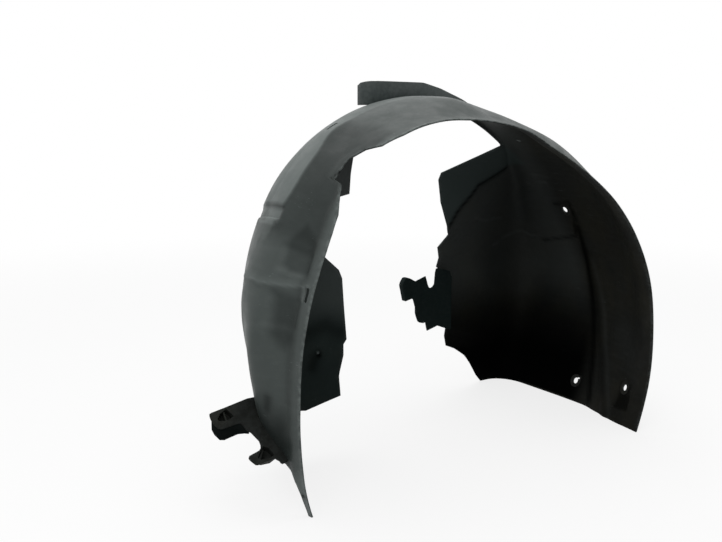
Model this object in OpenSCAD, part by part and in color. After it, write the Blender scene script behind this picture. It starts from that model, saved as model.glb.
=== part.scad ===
// Wheel arch liner: one moulded sheet bent round a front wheel.
// +X is the rear of the car, +Y is inboard and +Z is up. Angles run about the wheel's axis:
// 0 is the rear, 90 the top and 180 the front.

/* [Arch] */
// Radius of the outer edge about the wheel's axis
arch_r = 350; // [335:5:365]
// Depth of the front leg, from the outer edge to its side wall
front_depth = 212; // [196:4:228]
// Depth of the rear leg, from the outer edge to its side wall
rear_depth = 405; // [385:5:425]
// Height of the wheel's axis over the feet
axle_h = 193; // [185:1:200]
// Thickness of the moulded sheet
sheet_t = 2.5; // [2:0.25:3.5]
// Width of the lip along the outer edge
lip_w = 25; // [18:1:32]
// How far the lip leans outwards over its width
lip_rise = 4; // [0:0.5:8]
// Radius where the front leg turns into its side wall
front_round = 28; // [20:2:34]
// Radius where the rear leg turns into its side wall
rear_round = 70; // [50:5:80]
// Width of the turned-in edge along the top
top_edge_w = 8; // [5:1:12]

/* [Relief] */
// Height of the step along the rear leg
step_h = 4; // [0:0.5:6]
// Depth of the two shallow recesses in the front leg
recess_h = 3; // [0:0.5:4]
// Height of the rib across the front leg
rib_h = 2.5; // [0:0.5:4]
// Height of the fold down the front leg
fold_h = 3.5; // [0:0.5:5]

/* [Top flap] */
// Height of the flap's top over the wheel's axis
flap_h = 410; // [400:2:420]
// Length of the turned-back end of the flap
flap_return = 22; // [12:2:30]

/* [Fixings] */
// Diameter of the three main fixing holes
fix_d = 12; // [8:0.5:14]
// Diameter of the pad round each main fixing hole
pad_d = 26; // [20:1:32]
// Thickness of those pads
pad_t = 3.5; // [3:0.5:6]
// Diameter of the small holes
pin_d = 4.5; // [3:0.5:5.5]
// Width of the clip slots
slot_w = 7; // [5:0.5:9]
// Length of the clip slots
slot_l = 20; // [14:1:24]

/* [Front bracket] */
// Depth of the skirt below the bracket
skirt_h = 18; // [14:1:28]
// Depth of the two pockets below the bracket
pocket_h = 12; // [8:1:16]

/* [Rear bracket] */
// Depth of the step between the rear wall and its bracket
rear_step = 16; // [10:1:22]
// Depth of the hook's channel
hook_h = 12; // [8:1:16]

/* [Hidden] */
skin = "#2b2e2f";

// Lines round the arch: [angle, how far the outer face lies beyond arch_r]
edge_line = [[-44, 45], [-31, 24], [-16, 11], [-2, 0], [12, -6], [27, -16], [41, -25], [55, -32], [71, -29],
    [82, -15], [91, -6], [101, 6], [108, 16], [116, 24], [124, 27], [134, 20], [143, 12], [151, 3], [159, -2],
    [170, -4], [183, -1], [193, 8], [199, 16], [205, 26], [213, 38]];
bulge_line = [[-44, 45], [-31, 34], [-15, 33], [0, 30], [20, 24], [41, 16], [48, 11], [60, 7], [74, 5],
    [88, 16], [95, 29], [101, 33], [112, 36], [123, 37], [141, 35], [156, 34], [171, 36], [180, 32],
    [185, 28], [192, 25], [200, 26], [213, 44]];
crest_line = [[-44, 52], [-31, 42], [-15, 41], [0, 40], [20, 38], [37, 37], [44, 32], [54, 25], [69, 16],
    [83, 21], [91, 32], [97, 37], [102, 41], [117, 45], [130, 45], [141, 43], [156, 40], [165, 37], [171, 28],
    [181, 13], [188, 11], [200, 10], [213, 20]];
back_line = [[-44, 58], [-31, 52], [-15, 48], [0, 46], [20, 44], [40, 42], [50, 37], [64, 29], [79, 26],
    [86, 33], [92, 36], [98, 39], [106, 43], [114, 46], [130, 46], [140, 42], [152, 30], [162, 19], [170, 11],
    [175, 3], [184, -9], [200, -12], [213, -12]];
shoulder_line = [[-44, 50], [0, 50], [30, 42], [45, 33], [54, 30], [70, 30], [80, 35], [94, 38], [102, 37],
    [120, 34], [128, 31], [138, 23], [145, 14], [157, 3], [171, -11], [177, -18], [186, -27], [200, -32],
    [213, -32]];
// Depths of the three middle lines
bulge_y = 75;
crest_y = 120;
back_y = 165;
// Share of the way from the front leg's depth to the rear leg's
depth_line = [[-44, 1], [-20, 0.99], [0, 0.97], [15, 0.88], [30, 0.72], [45, 0.46], [54, 0.26], [70, 0.18],
    [85, 0.08], [100, 0], [215, 0]];
// How far the outer edge is cut back at the notch above the lip
notch_line = [[-44, 0], [119, 0], [122, 6], [124, 10], [126, 32], [129.5, 48], [132.5, 46], [135, 44],
    [135.4, 28], [136.7, 22], [138.9, 13], [142, 3], [146, 0], [215, 0]];
// Width of the tail below the front side wall, as a share of its width at the wall
tail_line = [[199.5, 1], [200.5, 0.7], [202.6, 0.42], [205.2, 0.28], [208.5, 0.2], [213, 0.16]];
// Fold line round the arch, which is a step on the rear leg: [angle, depth]
crease_line = [[-44, 60], [-29, 92], [-24, 112], [-15, 140], [-2, 165], [4, 177], [17, 198], [30, 210],
    [45, 200], [60, 160], [80, 130], [100, 120], [112, 128], [124, 125], [130, 109], [135, 103], [142, 97],
    [150, 104], [160, 120], [215, 120]];
crease_w = 20;
// Half the width of the fold down the front leg
fold_w = 46;

// Inner outline of the rear side wall: [angle of the leg, [x, y, z]]
rear_line = [[-44, [262, 398, -250]], [-33, [293, 396, -195]], [-31, [272, 388, -176]],
    [-29, [248, 378, -146]], [-27, [228, 372, -124]], [-25, [198, 366, -105]], [-22, [172, 362, -94]],
    [-19, [160, 352, -70]], [-17, [158, 345, -50]], [16, [158, 345, 52]], [20, [126, 336, 72]],
    [27, [128, 331, 90]], [31, [124, 330, 110]], [36, [143, 322, 134]], [45, [114, 312, 197]],
    [50, [102, 304, 240]], [52.7, [105, 300, 253]]];
// Inner outline of the front side wall
front_line = [[117, [-135, 208, 300]], [121, [-142, 208, 262]], [124, [-145, 207, 231]],
    [126, [-160, 207, 228]], [129.5, [-184, 206, 222]], [138, [-195, 206, 160]],
    [142, [-192, 206, 134]], [147, [-166, 205, 110]], [152, [-160, 205, 96]], [162, [-157, 205, 51]],
    [180, [-152, 205, -6]], [183, [-158, 205, -14]], [188, [-158, 205, -32]], [194, [-167, 205, -65]],
    [197, [-164, 205, -100]], [199.5, [-230, 205, -115]]];
rear_wall_end = 52.7;
front_wall_start = 117;
front_wall_end = 199.5;

// Stations round the arch, closer together where an outline turns
edge_gap = 0.4;
stations = concat([-44, -38, -35, -33, -31, -29, -27, -25, -22, -19, -17], [for (a = [-14:3:13]) a],
    [16, 20, 23, 27, 29, 31, 33.5, 36, 39, 42, 45, 47.5, 50, rear_wall_end, rear_wall_end + edge_gap],
    [for (a = [54.5:2.5:114.5]) a],
    [front_wall_start - edge_gap, front_wall_start, 119, 121, 122, 123, 124, 126, 127.5, 129.5, 132.5, 135,
    135.4, 136.7, 139, 142, 144, 145, 147, 148, 150.5, 152.2, 154, 156.2, 158, 160, 161.5],
    [for (a = [165:3:177]) a], [180, 183, 185.5, 188, 191, 194, 197, front_wall_end]);
tail_stations = [200.5, 202.6, 204, 205.2, 207, 208.5, 211, 213];
// Where the section's points lie: shares from the outer edge to the lip's end, on to the fold, and
// from there to the shoulder
lip_steps = [0, 0.5];
flank_steps = [0, 0.2, 0.4, 0.6, 0.8];
back_steps = [0, 0.2, 0.45, 0.7];
// Most that the corner takes of the side wall, and the fold of the way to the corner
round_most = 0.6;
fold_most = 0.7;
// Last point of a section that the tail shares
tail_last = 3;

// Top of the flap: [x, height over flap_h]
flap_line = [[-112, -16], [-110, -4], [-103, -2], [11, 0], [29, -4], [53, -9], [75, -16], [105, -25],
    [140, -39], [175, -58], [200, -76]];
// Where the flap's foot sits, from the tub's top edge
flap_foot = [0, 1, -3];
flap_start = 60.75;
flap_end = 104.3;
// Turned-back end of the flap: [x, share of flap_return, x on flap_line, outward direction]
flap_curl = [[0, 0, 0, [0, -1, 0]], [-7, 0.1, -7, [-0.4, -0.9, 0]], [-12, 0.3, -12, [-0.8, -0.6, 0]],
    [-14, 0.6, -14, [-1, 0, 0]], [-14, 0.85, -14, [-1, 0, 0]], [-14, 1, -16, [-1, 0, 0]]];

// Front bracket's plane: its corner on the leg, and its two turns
shelf_at = [-arch_r - 15, 110, -44];
shelf_pitch = 44;
shelf_roll = -14;
shelf_outline = [[-10, 1], [-44, 2], [-66, 3], [-70, 0], [-71, -6], [-68, -22], [-62, -26], [-47, -27],
    [-40, -28], [-35, -34], [-34, -42], [-30, -48], [-26, -64], [-27, -70], [-33, -77], [-49, -78],
    [-51, -80], [-50, -86], [-47, -93], [-40, -95], [-17, -97], [-15.5, -99.5], [-13.7, -108.5], [-3, -108]];
pockets = [[[-45, -2], [-39, -15], [-47, -17], [-60, -13], [-62, -7]],
    [[-36, -85], [-25, -75], [-19, -79], [-17, -92], [-24, -93.5], [-34, -91]]];
// Skirt under the bracket's outer edge: [u, v, share of skirt_h, inward direction]
skirt_line = [[-69, -3, 1, [0.9, 0.3, 0]], [-69, -12, 1, [0.9, 0.3, 0]], [-66, -22, 1, [0.7, 0.7, 0]],
    [-60, -25, 1, [0.1, 1, 0]], [-46, -26, 0.95, [0.1, 1, 0]], [-40, -27, 0.9, [0.5, 0.8, 0]],
    [-34, -35, 0.6, [0.9, 0.4, 0]], [-32, -44, 0.25, [0.9, 0.4, 0]]];

// Rear bracket's outlines, as x and z
plate_outline = [[119, 40], [122, 70], [156, 62], [158, 50], [158, -54], [127, -42], [103, -49], [99, -32],
    [93, -33], [81, -28], [75, -11], [74, 49], [98, 57], [103, 41], [110, 33]];
hook_outline = [[82, 46], [72, 50], [57, 58], [48, 58], [41, 45], [48, 15], [60, 18], [66, 16], [74, -10],
    [82, -8]];
hook_fold = [[77, 46], [80, 46], [80, -8], [77, -8]];
hook_rim = [[57, 58], [48, 58], [41, 45], [48, 15], [50.5, 16], [43.7, 44.6], [49.5, 55.5], [56, 55.5]];
plate_web = [[155.5, 52], [160, 52], [160, -52], [155.5, -52]];

// How far the hook's plane lies forward of the plate's
hook_step = 6;
// Thickness of the pockets' walls
pocket_wall = 2;
// Length of the tools that cut the holes and the slots
cut_l = 24;

// Clip slots: [angle, depth, turn, share of the full size]
slot_points = [[122, 145, 0, 1], [160.5, 13, 0, 1], [55, 216, 130, 0.55]];
// Small round hole in the tail: [angle, depth]
tail_pin = [205.4, 6];
// Blind dimple in the front side wall, as x, z and the depth of its end
wall_dimple = [-205, -22, 205.6];
// Main fixing holes: [angle, depth]
fixing_points = [[-20.6, 60], [-22.9, 200], [27.4, 221]];

function slope(t, i) = let(a = max(i - 1, 0), b = min(i + 1, len(t) - 1))
    (t[b][1] - t[a][1]) / (t[b][0] - t[a][0]);
function span(t, x, i = 0) = i >= len(t) - 2 || x < t[i + 1][0] ? i : span(t, x, i + 1);
// Smooth line through a table's points
function curve(t, x) = let(i = span(t, x), h = t[i + 1][0] - t[i][0], u = min(max((x - t[i][0]) / h, 0), 1))
    t[i][1] * (1 + 2 * u) * (1 - u) * (1 - u) + t[i + 1][1] * u * u * (3 - 2 * u)
    + h * (slope(t, i) * u * (1 - u) * (1 - u) + slope(t, i + 1) * u * u * (u - 1));
// Straight line through a table's points, which may be vectors
function polyline(t, x) = let(i = span(t, x), u = min(max((x - t[i][0]) / (t[i + 1][0] - t[i][0]), 0), 1))
    t[i][1] * (1 - u) + t[i + 1][1] * u;
function ramp(x, low, high) = let(u = min(max((x - low) / (high - low), 0), 1)) u * u * (3 - 2 * u);
function window(x, low, high, soft) = ramp(x, low - soft, low) * (1 - ramp(x, high, high + soft));
function unit(v) = v / norm(v);

function tub_depth(a) = front_depth + (rear_depth - front_depth) * polyline(depth_line, a);
function lean(a) = curve(edge_line, a);
function profile(a) = [[0, lean(a)], [lip_w, lean(a) + lip_rise], [bulge_y, curve(bulge_line, a)],
    [crest_y, curve(crest_line, a)], [back_y, curve(back_line, a)],
    [tub_depth(a), curve(shoulder_line, a)]];
// Steps, recesses and ribs that stand out of the smooth tub, outwards
function relief(a, y) =
    step_h * ramp(y, curve(crease_line, a), curve(crease_line, a) + crease_w) * window(a, -50, 14, 10)
    + fold_h * max(1 - abs(y - curve(crease_line, a)) / fold_w, 0) * window(a, 124, 143.5, 8)
    - recess_h * window(a, 152.2, 156.2, 1.7) * window(y, 28, 62, 10)
    - recess_h * window(a, 162.6, 167.8, 2) * window(y, 28, 62, 10)
    + rib_h * window(a, 159.8, 160.2, 1.4) * window(y, 20, 130, 14)
    - recess_h * window(a, 144.8, 147.2, 0.8) * window(y, 100, 180, 12);
function tub_r(a, y) = arch_r + curve(profile(a), y) + relief(a, y);
function tub_point(a, y) = let(r = tub_r(a, y)) [r * cos(a), y, r * sin(a)];

// Way that the turned-in top edge points, which meets each side wall's own way
function wall_way(line, a) = unit(polyline(line, a) - tub_point(a, tub_depth(a)));
function edge_way(a) = let(r = 1 - ramp(a, rear_wall_end, 62), f = ramp(a, 110, front_wall_start - edge_gap))
    unit(r * wall_way(rear_line, rear_wall_end) + f * wall_way(front_line, front_wall_start)
    - (1 - r - f) * [cos(a), 0, sin(a)]);
function wall_end(a, s) = a <= rear_wall_end ? polyline(rear_line, a)
    : a >= front_wall_start ? polyline(front_line, a)
    : s + top_edge_w * edge_way(a);
corner_least = 0.6 * top_edge_w;
function round_at(a) = corner_least + (rear_round - corner_least) * (1 - ramp(a, 0, rear_wall_end))
    + (front_round - corner_least) * ramp(a, front_wall_start, 130);

// One section of the outer face, from the outer edge to the end of the side wall
function section(a) = let(s_y = tub_depth(a), s = tub_point(a, s_y), e = wall_end(a, s),
    c = min(round_at(a), round_most * norm(e - s)), edge_y = polyline(notch_line, a), a_y = s_y - c,
    fold_y = min(curve(crease_line, a), fold_most * a_y),
    lip_y = edge_y + lip_w * fold_y / crest_y * (1 - edge_y / crest_y),
    foot_y = min(fold_y + crease_w, (fold_y + a_y) / 2), p = tub_point(a, a_y), q = s + unit(e - s) * c)
    concat([for (u = lip_steps) tub_point(a, edge_y + u * (lip_y - edge_y))],
        [for (u = flank_steps) tub_point(a, lip_y + u * (fold_y - lip_y))], [tub_point(a, fold_y)],
        [for (u = back_steps) tub_point(a, foot_y + u * (a_y - foot_y))],
        [for (u = [0:0.25:1]) p * (1 - u) * (1 - u) + 2 * s * u * (1 - u) + q * u * u],
        [for (u = [0.25:0.25:1]) q * (1 - u) + e * u]);
// One section of the tail, which goes on from the first points of the last full section
function tail_section(a) = let(f = section(front_wall_end), share = polyline(tail_line, a))
    [for (j = [0:tail_last + 1]) tub_point(a, share * f[j].y)];
function along(p) = unit([-p[2], 0, p[0]]);
// Outward direction at each point of a section
function normals(s) = [for (j = [0:len(s) - 1])
    unit(cross(s[min(j + 1, len(s) - 1)] - s[max(j - 1, 0)], along(s[j])))];
// A closed ring: the outer face and, back again, the inner face
function ring(s) = let(n = normals(s), last = len(s) - 1)
    concat(s, [for (j = [last:-1:0]) s[j] - sheet_t * n[j]]);
function trimmed(r) = let(n = len(r) / 2) [for (i = [0:len(r) - 1]) if (i != n - 1 && i != n) r[i]];

// Middle of the box that holds the part, at the feet's level, seen from the wheel's axis
function at_feet(p, q) = (p.z + axle_h) * (q.z + axle_h) < 0
    ? [p + (q - p) * (p.z + axle_h) / (p.z - q.z)] : [];
corners = let(r = [for (a = stations) if (a < 0) ring(section(a))], n = len(r[0])) concat(
    [for (a = r, p = a) if (p.z > -axle_h) p],
    [for (i = [0:len(r) - 2], j = [0:n - 1], k = [j, (j + 1) % n]) each at_feet(r[i][j], r[i + 1][k])],
    [for (k = shelf_outline, w = [0, sheet_t]) shelf_point(k[0], k[1], w)], [[0, 0, 0]]);
function middle(v) = (max(v) + min(v)) / 2;
base = [middle([for (p = corners) p.x]), middle([for (p = corners) p.y]), -axle_h];

// Faces of a closed sheet through rings of points. Each ring is a list of the points' numbers, and its
// second half runs back beside the first
function sides(r) = [for (i = [0:len(r) - 2], j = [0:len(r[0]) - 1]) let(k = (j + 1) % len(r[0]))
    each [[r[i][j], r[i + 1][k], r[i][k]], [r[i][j], r[i + 1][j], r[i + 1][k]]]];
function first_end(r) = let(n = len(r)) [for (j = [0:n / 2 - 2]) each [[r[j], r[n - 2 - j], r[n - 1 - j]],
    [r[j], r[j + 1], r[n - 2 - j]]]];
function last_end(r, from = 0) = let(n = len(r)) [for (j = [from:n / 2 - 2])
    each [[r[j], r[n - 1 - j], r[n - 2 - j]], [r[j], r[n - 2 - j], r[j + 1]]]];
function numbers(count, n, start = 0) = [for (i = [0:count - 1]) [for (j = [0:n - 1]) start + i * n + j]];

module loft(rings) {
    r = numbers(len(rings), len(rings[0]));
    polyhedron(points = [for (p = rings) each p], convexity = 8,
        faces = concat(sides(r), first_end(r[0]), last_end(r[len(r) - 1])));
}

// The tub: full sections round the arch, and the narrower tail that goes on from the last one
module tub() {
    full = [for (a = stations) ring(section(a))];
    tail = [for (a = tail_stations) trimmed(ring(tail_section(a)))];
    n = len(full[0]);
    m = len(tail[0]);
    r = numbers(len(full), n);
    end = r[len(r) - 1];
    t = concat([[for (j = [0:tail_last]) end[j], for (j = [tail_last:-1:0]) end[n - 1 - j]]],
        numbers(len(tail), m, len(full) * n));
    polyhedron(points = [for (p = concat(full, tail)) each p], convexity = 8,
        faces = concat(sides(r), first_end(r[0]), last_end(end, tail_last), sides(t),
            last_end(t[len(t) - 1])));
}

// Puts its children on the tub's outer face, with +Z outwards
module on_tub(a, y) {
    tilt = atan((tub_r(a, y + 5) - tub_r(a, y - 5)) / 10);
    translate(tub_point(a, y)) rotate([0, -a, 0]) rotate([0, 0, -tilt]) rotate([0, 90, 0]) children();
}

// The upright flap along the top's inner edge, with its front end turned back
module top_flap() {
    end = tub_point(flap_end, tub_depth(flap_end)) + flap_foot;
    loft(concat([for (a = [flap_start:2.5:flap_end]) let(b = tub_point(a, tub_depth(a)) + flap_foot)
            flap_ring(b, b.x, [0, -1, 0])],
        [for (k = flap_curl) flap_ring(end + [k[0], k[1] * flap_return, 0], end.x + k[2], k[3])]));
}
function flap_ring(b, x, n) = let(t = [b.x, b.y, flap_h + polyline(flap_line, x)])
    [b + sheet_t * n, t + sheet_t * n, t, b];

// Front bracket: a plate folded out of the front leg, in a plane of its own
module in_shelf() {
    translate(shelf_at) rotate([shelf_pitch, shelf_roll, 0]) children();
}
function shelf_point(u, v, w = 0) = shelf_at + [
    u * cos(shelf_roll) + (v * sin(shelf_pitch) + w * cos(shelf_pitch)) * sin(shelf_roll),
    v * cos(shelf_pitch) - w * sin(shelf_pitch),
    -u * sin(shelf_roll) + (v * sin(shelf_pitch) + w * cos(shelf_pitch)) * cos(shelf_roll)];
// Where the plate meets the middle of the leg's sheet
function join_u(v, u = 0, n = 6) = n == 0 ? u : let(p = shelf_point(u, v), r = norm([p.x, p.z]),
    a = atan2(p.z, p.x)) join_u(v, u + r - tub_r(a < 0 ? a + 360 : a, p.y) + 0.6 * sheet_t, n - 1);
module front_bracket() {
    joint = [for (v = [-98:12:-2]) [join_u(v), v]];
    in_shelf() difference() {
        union() {
            linear_extrude(sheet_t) polygon(concat(shelf_outline, joint));
            for (p = pockets) translate([0, 0, -pocket_h]) linear_extrude(pocket_h + sheet_t / 2)
                offset(delta = pocket_wall) polygon(p);
        }
        for (p = pockets) translate([0, 0, pocket_wall - pocket_h])
            linear_extrude(pocket_h + 2 * sheet_t) polygon(p);
    }
    loft([for (k = skirt_line) let(t = shelf_point(k[0], k[1], 1), n = k[3])
        [t, t - [0, 0, k[2] * skirt_h], t + 2 * n - [0, 0, k[2] * skirt_h], t + 2 * n]]);
}

// Rear bracket: a plate set forward of the rear side wall, with a hook at its end
module rear_bracket() {
    wall_y = rear_line[9][1].y;
    plate_y = wall_y - rear_step;
    hook_y = plate_y - hook_step;
    module leaf(y, shape, t = sheet_t) {
        translate([0, y + t, 0]) rotate([90, 0, 0]) linear_extrude(t) polygon(shape);
    }
    leaf(plate_y, plate_outline);
    leaf(plate_y, plate_web, rear_step - sheet_t / 2);
    leaf(hook_y, hook_outline);
    leaf(hook_y, hook_fold, plate_y - hook_y + sheet_t);
    leaf(hook_y, hook_rim, hook_h);
}

module fixings(d, h) {
    for (f = fixing_points) on_tub(f[0], f[1]) translate([0, 0, -sheet_t / 2])
        cylinder(h, d = d, center = true);
}

module slots() {
    for (f = slot_points) on_tub(f[0], f[1]) rotate(f[2])
        cube([f[3] * slot_l, f[3] * slot_w, cut_l], center = true);
}

module pin_holes() {
    on_tub(tail_pin[0], tail_pin[1]) cylinder(cut_l, d = pin_d, center = true);
    translate([wall_dimple[0], wall_dimple[2], wall_dimple[1]]) rotate([90, 0, 0]) cylinder(cut_l, d = pin_d);
}

module foot_cut() {
    size = 3 * arch_r;
    translate([-size / 2, -size / 2, -axle_h - size]) cube(size);
}

// The whole sheet before its round holes are made, joined as one mesh
module sheet() {
    resize([0, 0, 0]) difference() {
        union() {
            tub();
            top_flap();
            front_bracket();
            rear_bracket();
            fixings(pad_d, pad_t);
        }
        slots();
        foot_cut();
    }
}

module liner() {
    color(skin) translate(-base) difference() {
        sheet();
        fixings(fix_d, cut_l);
        pin_holes();
    }
}

liner();
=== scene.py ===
"""Wheel arch liner: the dressed model of one moulded sheet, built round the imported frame.

Lengths in the tables are millimetres about the wheel's axis: +X is the rear of the car, +Y inboard
and +Z up. Angles run about that axis: 0 is the rear, 90 the top and 180 the front.
"""

import logging
import math
from dataclasses import dataclass, field
from enum import Enum
from typing import Sequence

import bmesh
import bpy
import numpy as np
from mathutils import Matrix, Vector
from mathutils.kdtree import KDTree


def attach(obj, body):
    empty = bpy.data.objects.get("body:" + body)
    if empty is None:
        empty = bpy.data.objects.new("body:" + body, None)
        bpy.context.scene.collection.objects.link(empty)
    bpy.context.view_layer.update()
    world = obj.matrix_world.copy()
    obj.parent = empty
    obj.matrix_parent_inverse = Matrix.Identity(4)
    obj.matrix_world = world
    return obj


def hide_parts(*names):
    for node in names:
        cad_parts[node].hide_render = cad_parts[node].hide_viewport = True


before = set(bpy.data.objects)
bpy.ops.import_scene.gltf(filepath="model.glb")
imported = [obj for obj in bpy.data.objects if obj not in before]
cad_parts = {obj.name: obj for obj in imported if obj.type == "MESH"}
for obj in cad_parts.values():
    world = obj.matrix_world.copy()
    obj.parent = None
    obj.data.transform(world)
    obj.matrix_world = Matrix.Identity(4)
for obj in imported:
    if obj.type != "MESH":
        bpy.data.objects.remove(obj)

log = logging.getLogger("liner")

MM = 0.001
WHITE = (1, 1, 1, 1)
BODY = "root"
# Where the wheel's axis lies in the frame, from the middle of the part's box at the feet's level
AXIS_AT = (15.156, -197.809, 193.0)
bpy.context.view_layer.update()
# Length along the sheet for each degree of the arch
MM_PER_DEGREE = 6.6
# Nearer the axis than this, the sheet is a side wall and not a leg
LEG_FROM = 300.0
# Seed of the sheet's slight unevenness
UNEVEN_SEED = 7.0
# Angle below which the sheet belongs to the rear leg
REAR_BELOW = 100.0
# Depths over which the rear side wall begins
REAR_WALL_FROM = (225.0, 240.0)
# Depth and distance from the axis that bound the front side wall
FRONT_WALL_FROM = 195.0
FRONT_WALL_WITHIN = 345.0

Table = Sequence[Sequence[float]]
Point = tuple[float, float, float]
Array = np.ndarray
Object = bpy.types.Object
Material = bpy.types.Material
Tree = bpy.types.NodeTree
Node = bpy.types.Node
Socket = bpy.types.NodeSocket


def curve(table: Table, x: Array | float) -> Array:
    """Smooth line through a table's points.

    Args:
        table: Rows of a place and its value, the places in rising order.
        x: Where to read the line.

    Returns:
        The line's values, level beyond the table's ends.
    """
    t = np.asarray(table, float)
    places, values = t[:, 0], t[:, 1]
    x = np.clip(np.asarray(x, float), places[0], places[-1])
    i = np.clip(np.searchsorted(places, x, side="right") - 1, 0, len(places) - 2)
    ends = np.arange(len(places))
    after = np.minimum(ends + 1, len(places) - 1)
    before = np.maximum(ends - 1, 0)
    slopes = (values[after] - values[before]) / (places[after] - places[before])
    h = places[i + 1] - places[i]
    u = (x - places[i]) / h
    return (
        values[i] * (1 + 2 * u) * (1 - u) ** 2
        + values[i + 1] * u**2 * (3 - 2 * u)
        + h * (slopes[i] * u * (1 - u) ** 2 + slopes[i + 1] * u**2 * (u - 1))
    )


def line(table: Table, x: Array | float) -> Array:
    """Straight lines through a table's points, level beyond its ends."""
    t = np.asarray(table, float)
    return np.interp(x, t[:, 0], t[:, 1])


def corner_line(table: Sequence, x: float) -> Array:
    """Straight lines through a table whose values are points in space."""
    places = [row[0] for row in table]
    points = np.array([row[1] for row in table], float)
    return np.array([np.interp(x, places, points[:, k]) for k in range(3)])


def ramp(x: Array | float, low: Array | float, high: Array | float) -> Array:
    """Soft step from 0 at low to 1 at high."""
    u = np.clip((np.asarray(x, float) - low) / (np.asarray(high, float) - low), 0, 1)
    return u * u * (3 - 2 * u)


def window(x: Array | float, low: float, high: float, soft: float) -> Array:
    """1 between low and high, falling softly to 0 outside them."""
    return ramp(x, low - soft, low) * (1 - ramp(x, high, high + soft))


def ridge(x: Array, centre: Array | float, half: float) -> Array:
    """A fold: 1 at the centre line, falling straight to 0 at half its width each way."""
    return np.clip(1 - np.abs(x - centre) / half, 0, 1)


def bell(x: Array, centre: Array | float, half: float) -> Array:
    """A rounded bump round a centre line."""
    return np.exp(-(((x - centre) / half) ** 2))


def unit(v: Array) -> Array:
    """Vectors brought to a length of 1."""
    return v / np.maximum(np.linalg.norm(v, axis=-1, keepdims=True), 1e-9)


def path_side(path: Table, x: Array, z: Array) -> Array:
    """How far points lie from a path, counted positive on its left.

    Args:
        path: The path's corners.
        x: The points' first coordinates.
        z: The points' second coordinates.

    Returns:
        Signed distances.
    """
    best = np.full(np.shape(x), 1e9)
    sign = np.ones(np.shape(x))
    for (ax, az), (bx, bz) in zip(path[:-1], path[1:]):
        dx, dz = bx - ax, bz - az
        u = np.clip(((x - ax) * dx + (z - az) * dz) / (dx * dx + dz * dz), 0, 1)
        gap = np.hypot(x - ax - u * dx, z - az - u * dz)
        nearer = gap < best
        best = np.where(nearer, gap, best)
        sign = np.where(nearer, np.sign(dx * (z - az) - dz * (x - ax)), sign)
    return best * sign


def within(path: Table, x: Array, z: Array) -> Array:
    """How far points lie inside a closed path, negative outside it.

    Args:
        path: The path's corners, either way round.
        x: The points' first coordinates.
        z: The points' second coordinates.

    Returns:
        Signed distances.
    """
    inside = np.zeros(np.shape(x), bool)
    for (ax, az), (bx, bz) in zip(path, np.roll(path, -1, 0)):
        if az == bz:
            continue
        crossing = (az > z) != (bz > z)
        inside ^= crossing & (x < ax + (z - az) * (bx - ax) / (bz - az))
    return np.abs(path_side(path, x, z)) * np.where(inside, 1, -1)


class Skin(Enum):
    """The sheet's two faces, by the number of their material slot."""

    OUTER = 0
    INNER = 1


class Plane(Enum):
    """How a mark's path is given: angle and depth on a leg, or x and z on a side wall."""

    LEG = "angle and depth"
    REAR_WALL = "x and z at the rear"
    FRONT_WALL = "x and z at the front"


@dataclass(frozen=True)
class Mark:
    """A line or patch of painted light (above 0) or painted shade (below 0) on the sheet.

    A patch's path closes on itself, and half is then the softness of its edge.
    """

    skin: Skin
    plane: Plane
    path: Table
    half: float
    amount: float
    patch: bool = False

    def strength(self, a: Array, p: Array) -> Array:
        """How strongly points are marked, from 0 to 1.

        Args:
            a: The points' angles.
            p: The points in mm.

        Returns:
            One share for each point.
        """
        path = np.array(self.path, float)
        x, z = p[:, 0], p[:, 2]
        if self.plane is Plane.LEG:
            path *= (MM_PER_DEGREE, 1)
            x, z = a * MM_PER_DEGREE, p[:, 1]
        if self.patch:
            share = ramp(within(path, x, z), -self.half, self.half)
        else:
            share = bell(path_side(path, x, z), 0, self.half)
        if self.plane is Plane.LEG:
            return share * (np.hypot(p[:, 0], p[:, 2]) > LEG_FROM)
        if self.plane is Plane.REAR_WALL:
            return share * (a < REAR_BELOW) * ramp(p[:, 1], *REAR_WALL_FROM)
        on_front = (p[:, 1] > FRONT_WALL_FROM) * (np.hypot(x, z) < FRONT_WALL_WITHIN)
        return share * (a > REAR_BELOW) * on_front


def angles(p: Array) -> Array:
    """Angles of points about the wheel's axis, in degrees from -90."""
    a = np.degrees(np.arctan2(p[:, 2], p[:, 0]))
    return np.where(a < -90, a + 360, a)


def in_frame(p: Array) -> Array:
    """Points about the wheel's axis, in mm, as points of the frame, in metres."""
    return (np.asarray(p, float) + np.array(AXIS_AT)) * MM


# Meshes


class Join(Enum):
    """How a solid takes up other solids."""

    ADD = "UNION"
    CUT = "DIFFERENCE"


def add_object(name: str, data: bpy.types.ID) -> Object:
    """Puts a mesh, a lamp or a camera in the scene."""
    obj = bpy.data.objects.new(name, data)
    bpy.context.scene.collection.objects.link(obj)
    return obj


def make_object(name: str, points: Array, faces: Sequence[Sequence[int]]) -> Object:
    """Makes a mesh object in the scene.

    Args:
        name: The object's name.
        points: Its points in metres, in the frame.
        faces: Its faces as numbers of points.

    Returns:
        The new object, at the origin.
    """
    mesh = bpy.data.meshes.new(name)
    mesh.from_pydata([tuple(p) for p in np.asarray(points, float)], [], [list(f) for f in faces])
    mesh.validate()
    return add_object(name, mesh)


def settle(obj: Object) -> Object:
    """Turns an object with modifiers into a plain mesh and takes the modifiers off."""
    graph = bpy.context.evaluated_depsgraph_get()
    mesh = bpy.data.meshes.new_from_object(obj.evaluated_get(graph), depsgraph=graph)
    old = obj.data
    obj.modifiers.clear()
    obj.data = mesh
    mesh.name = obj.name
    bpy.data.meshes.remove(old)
    return obj


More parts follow.
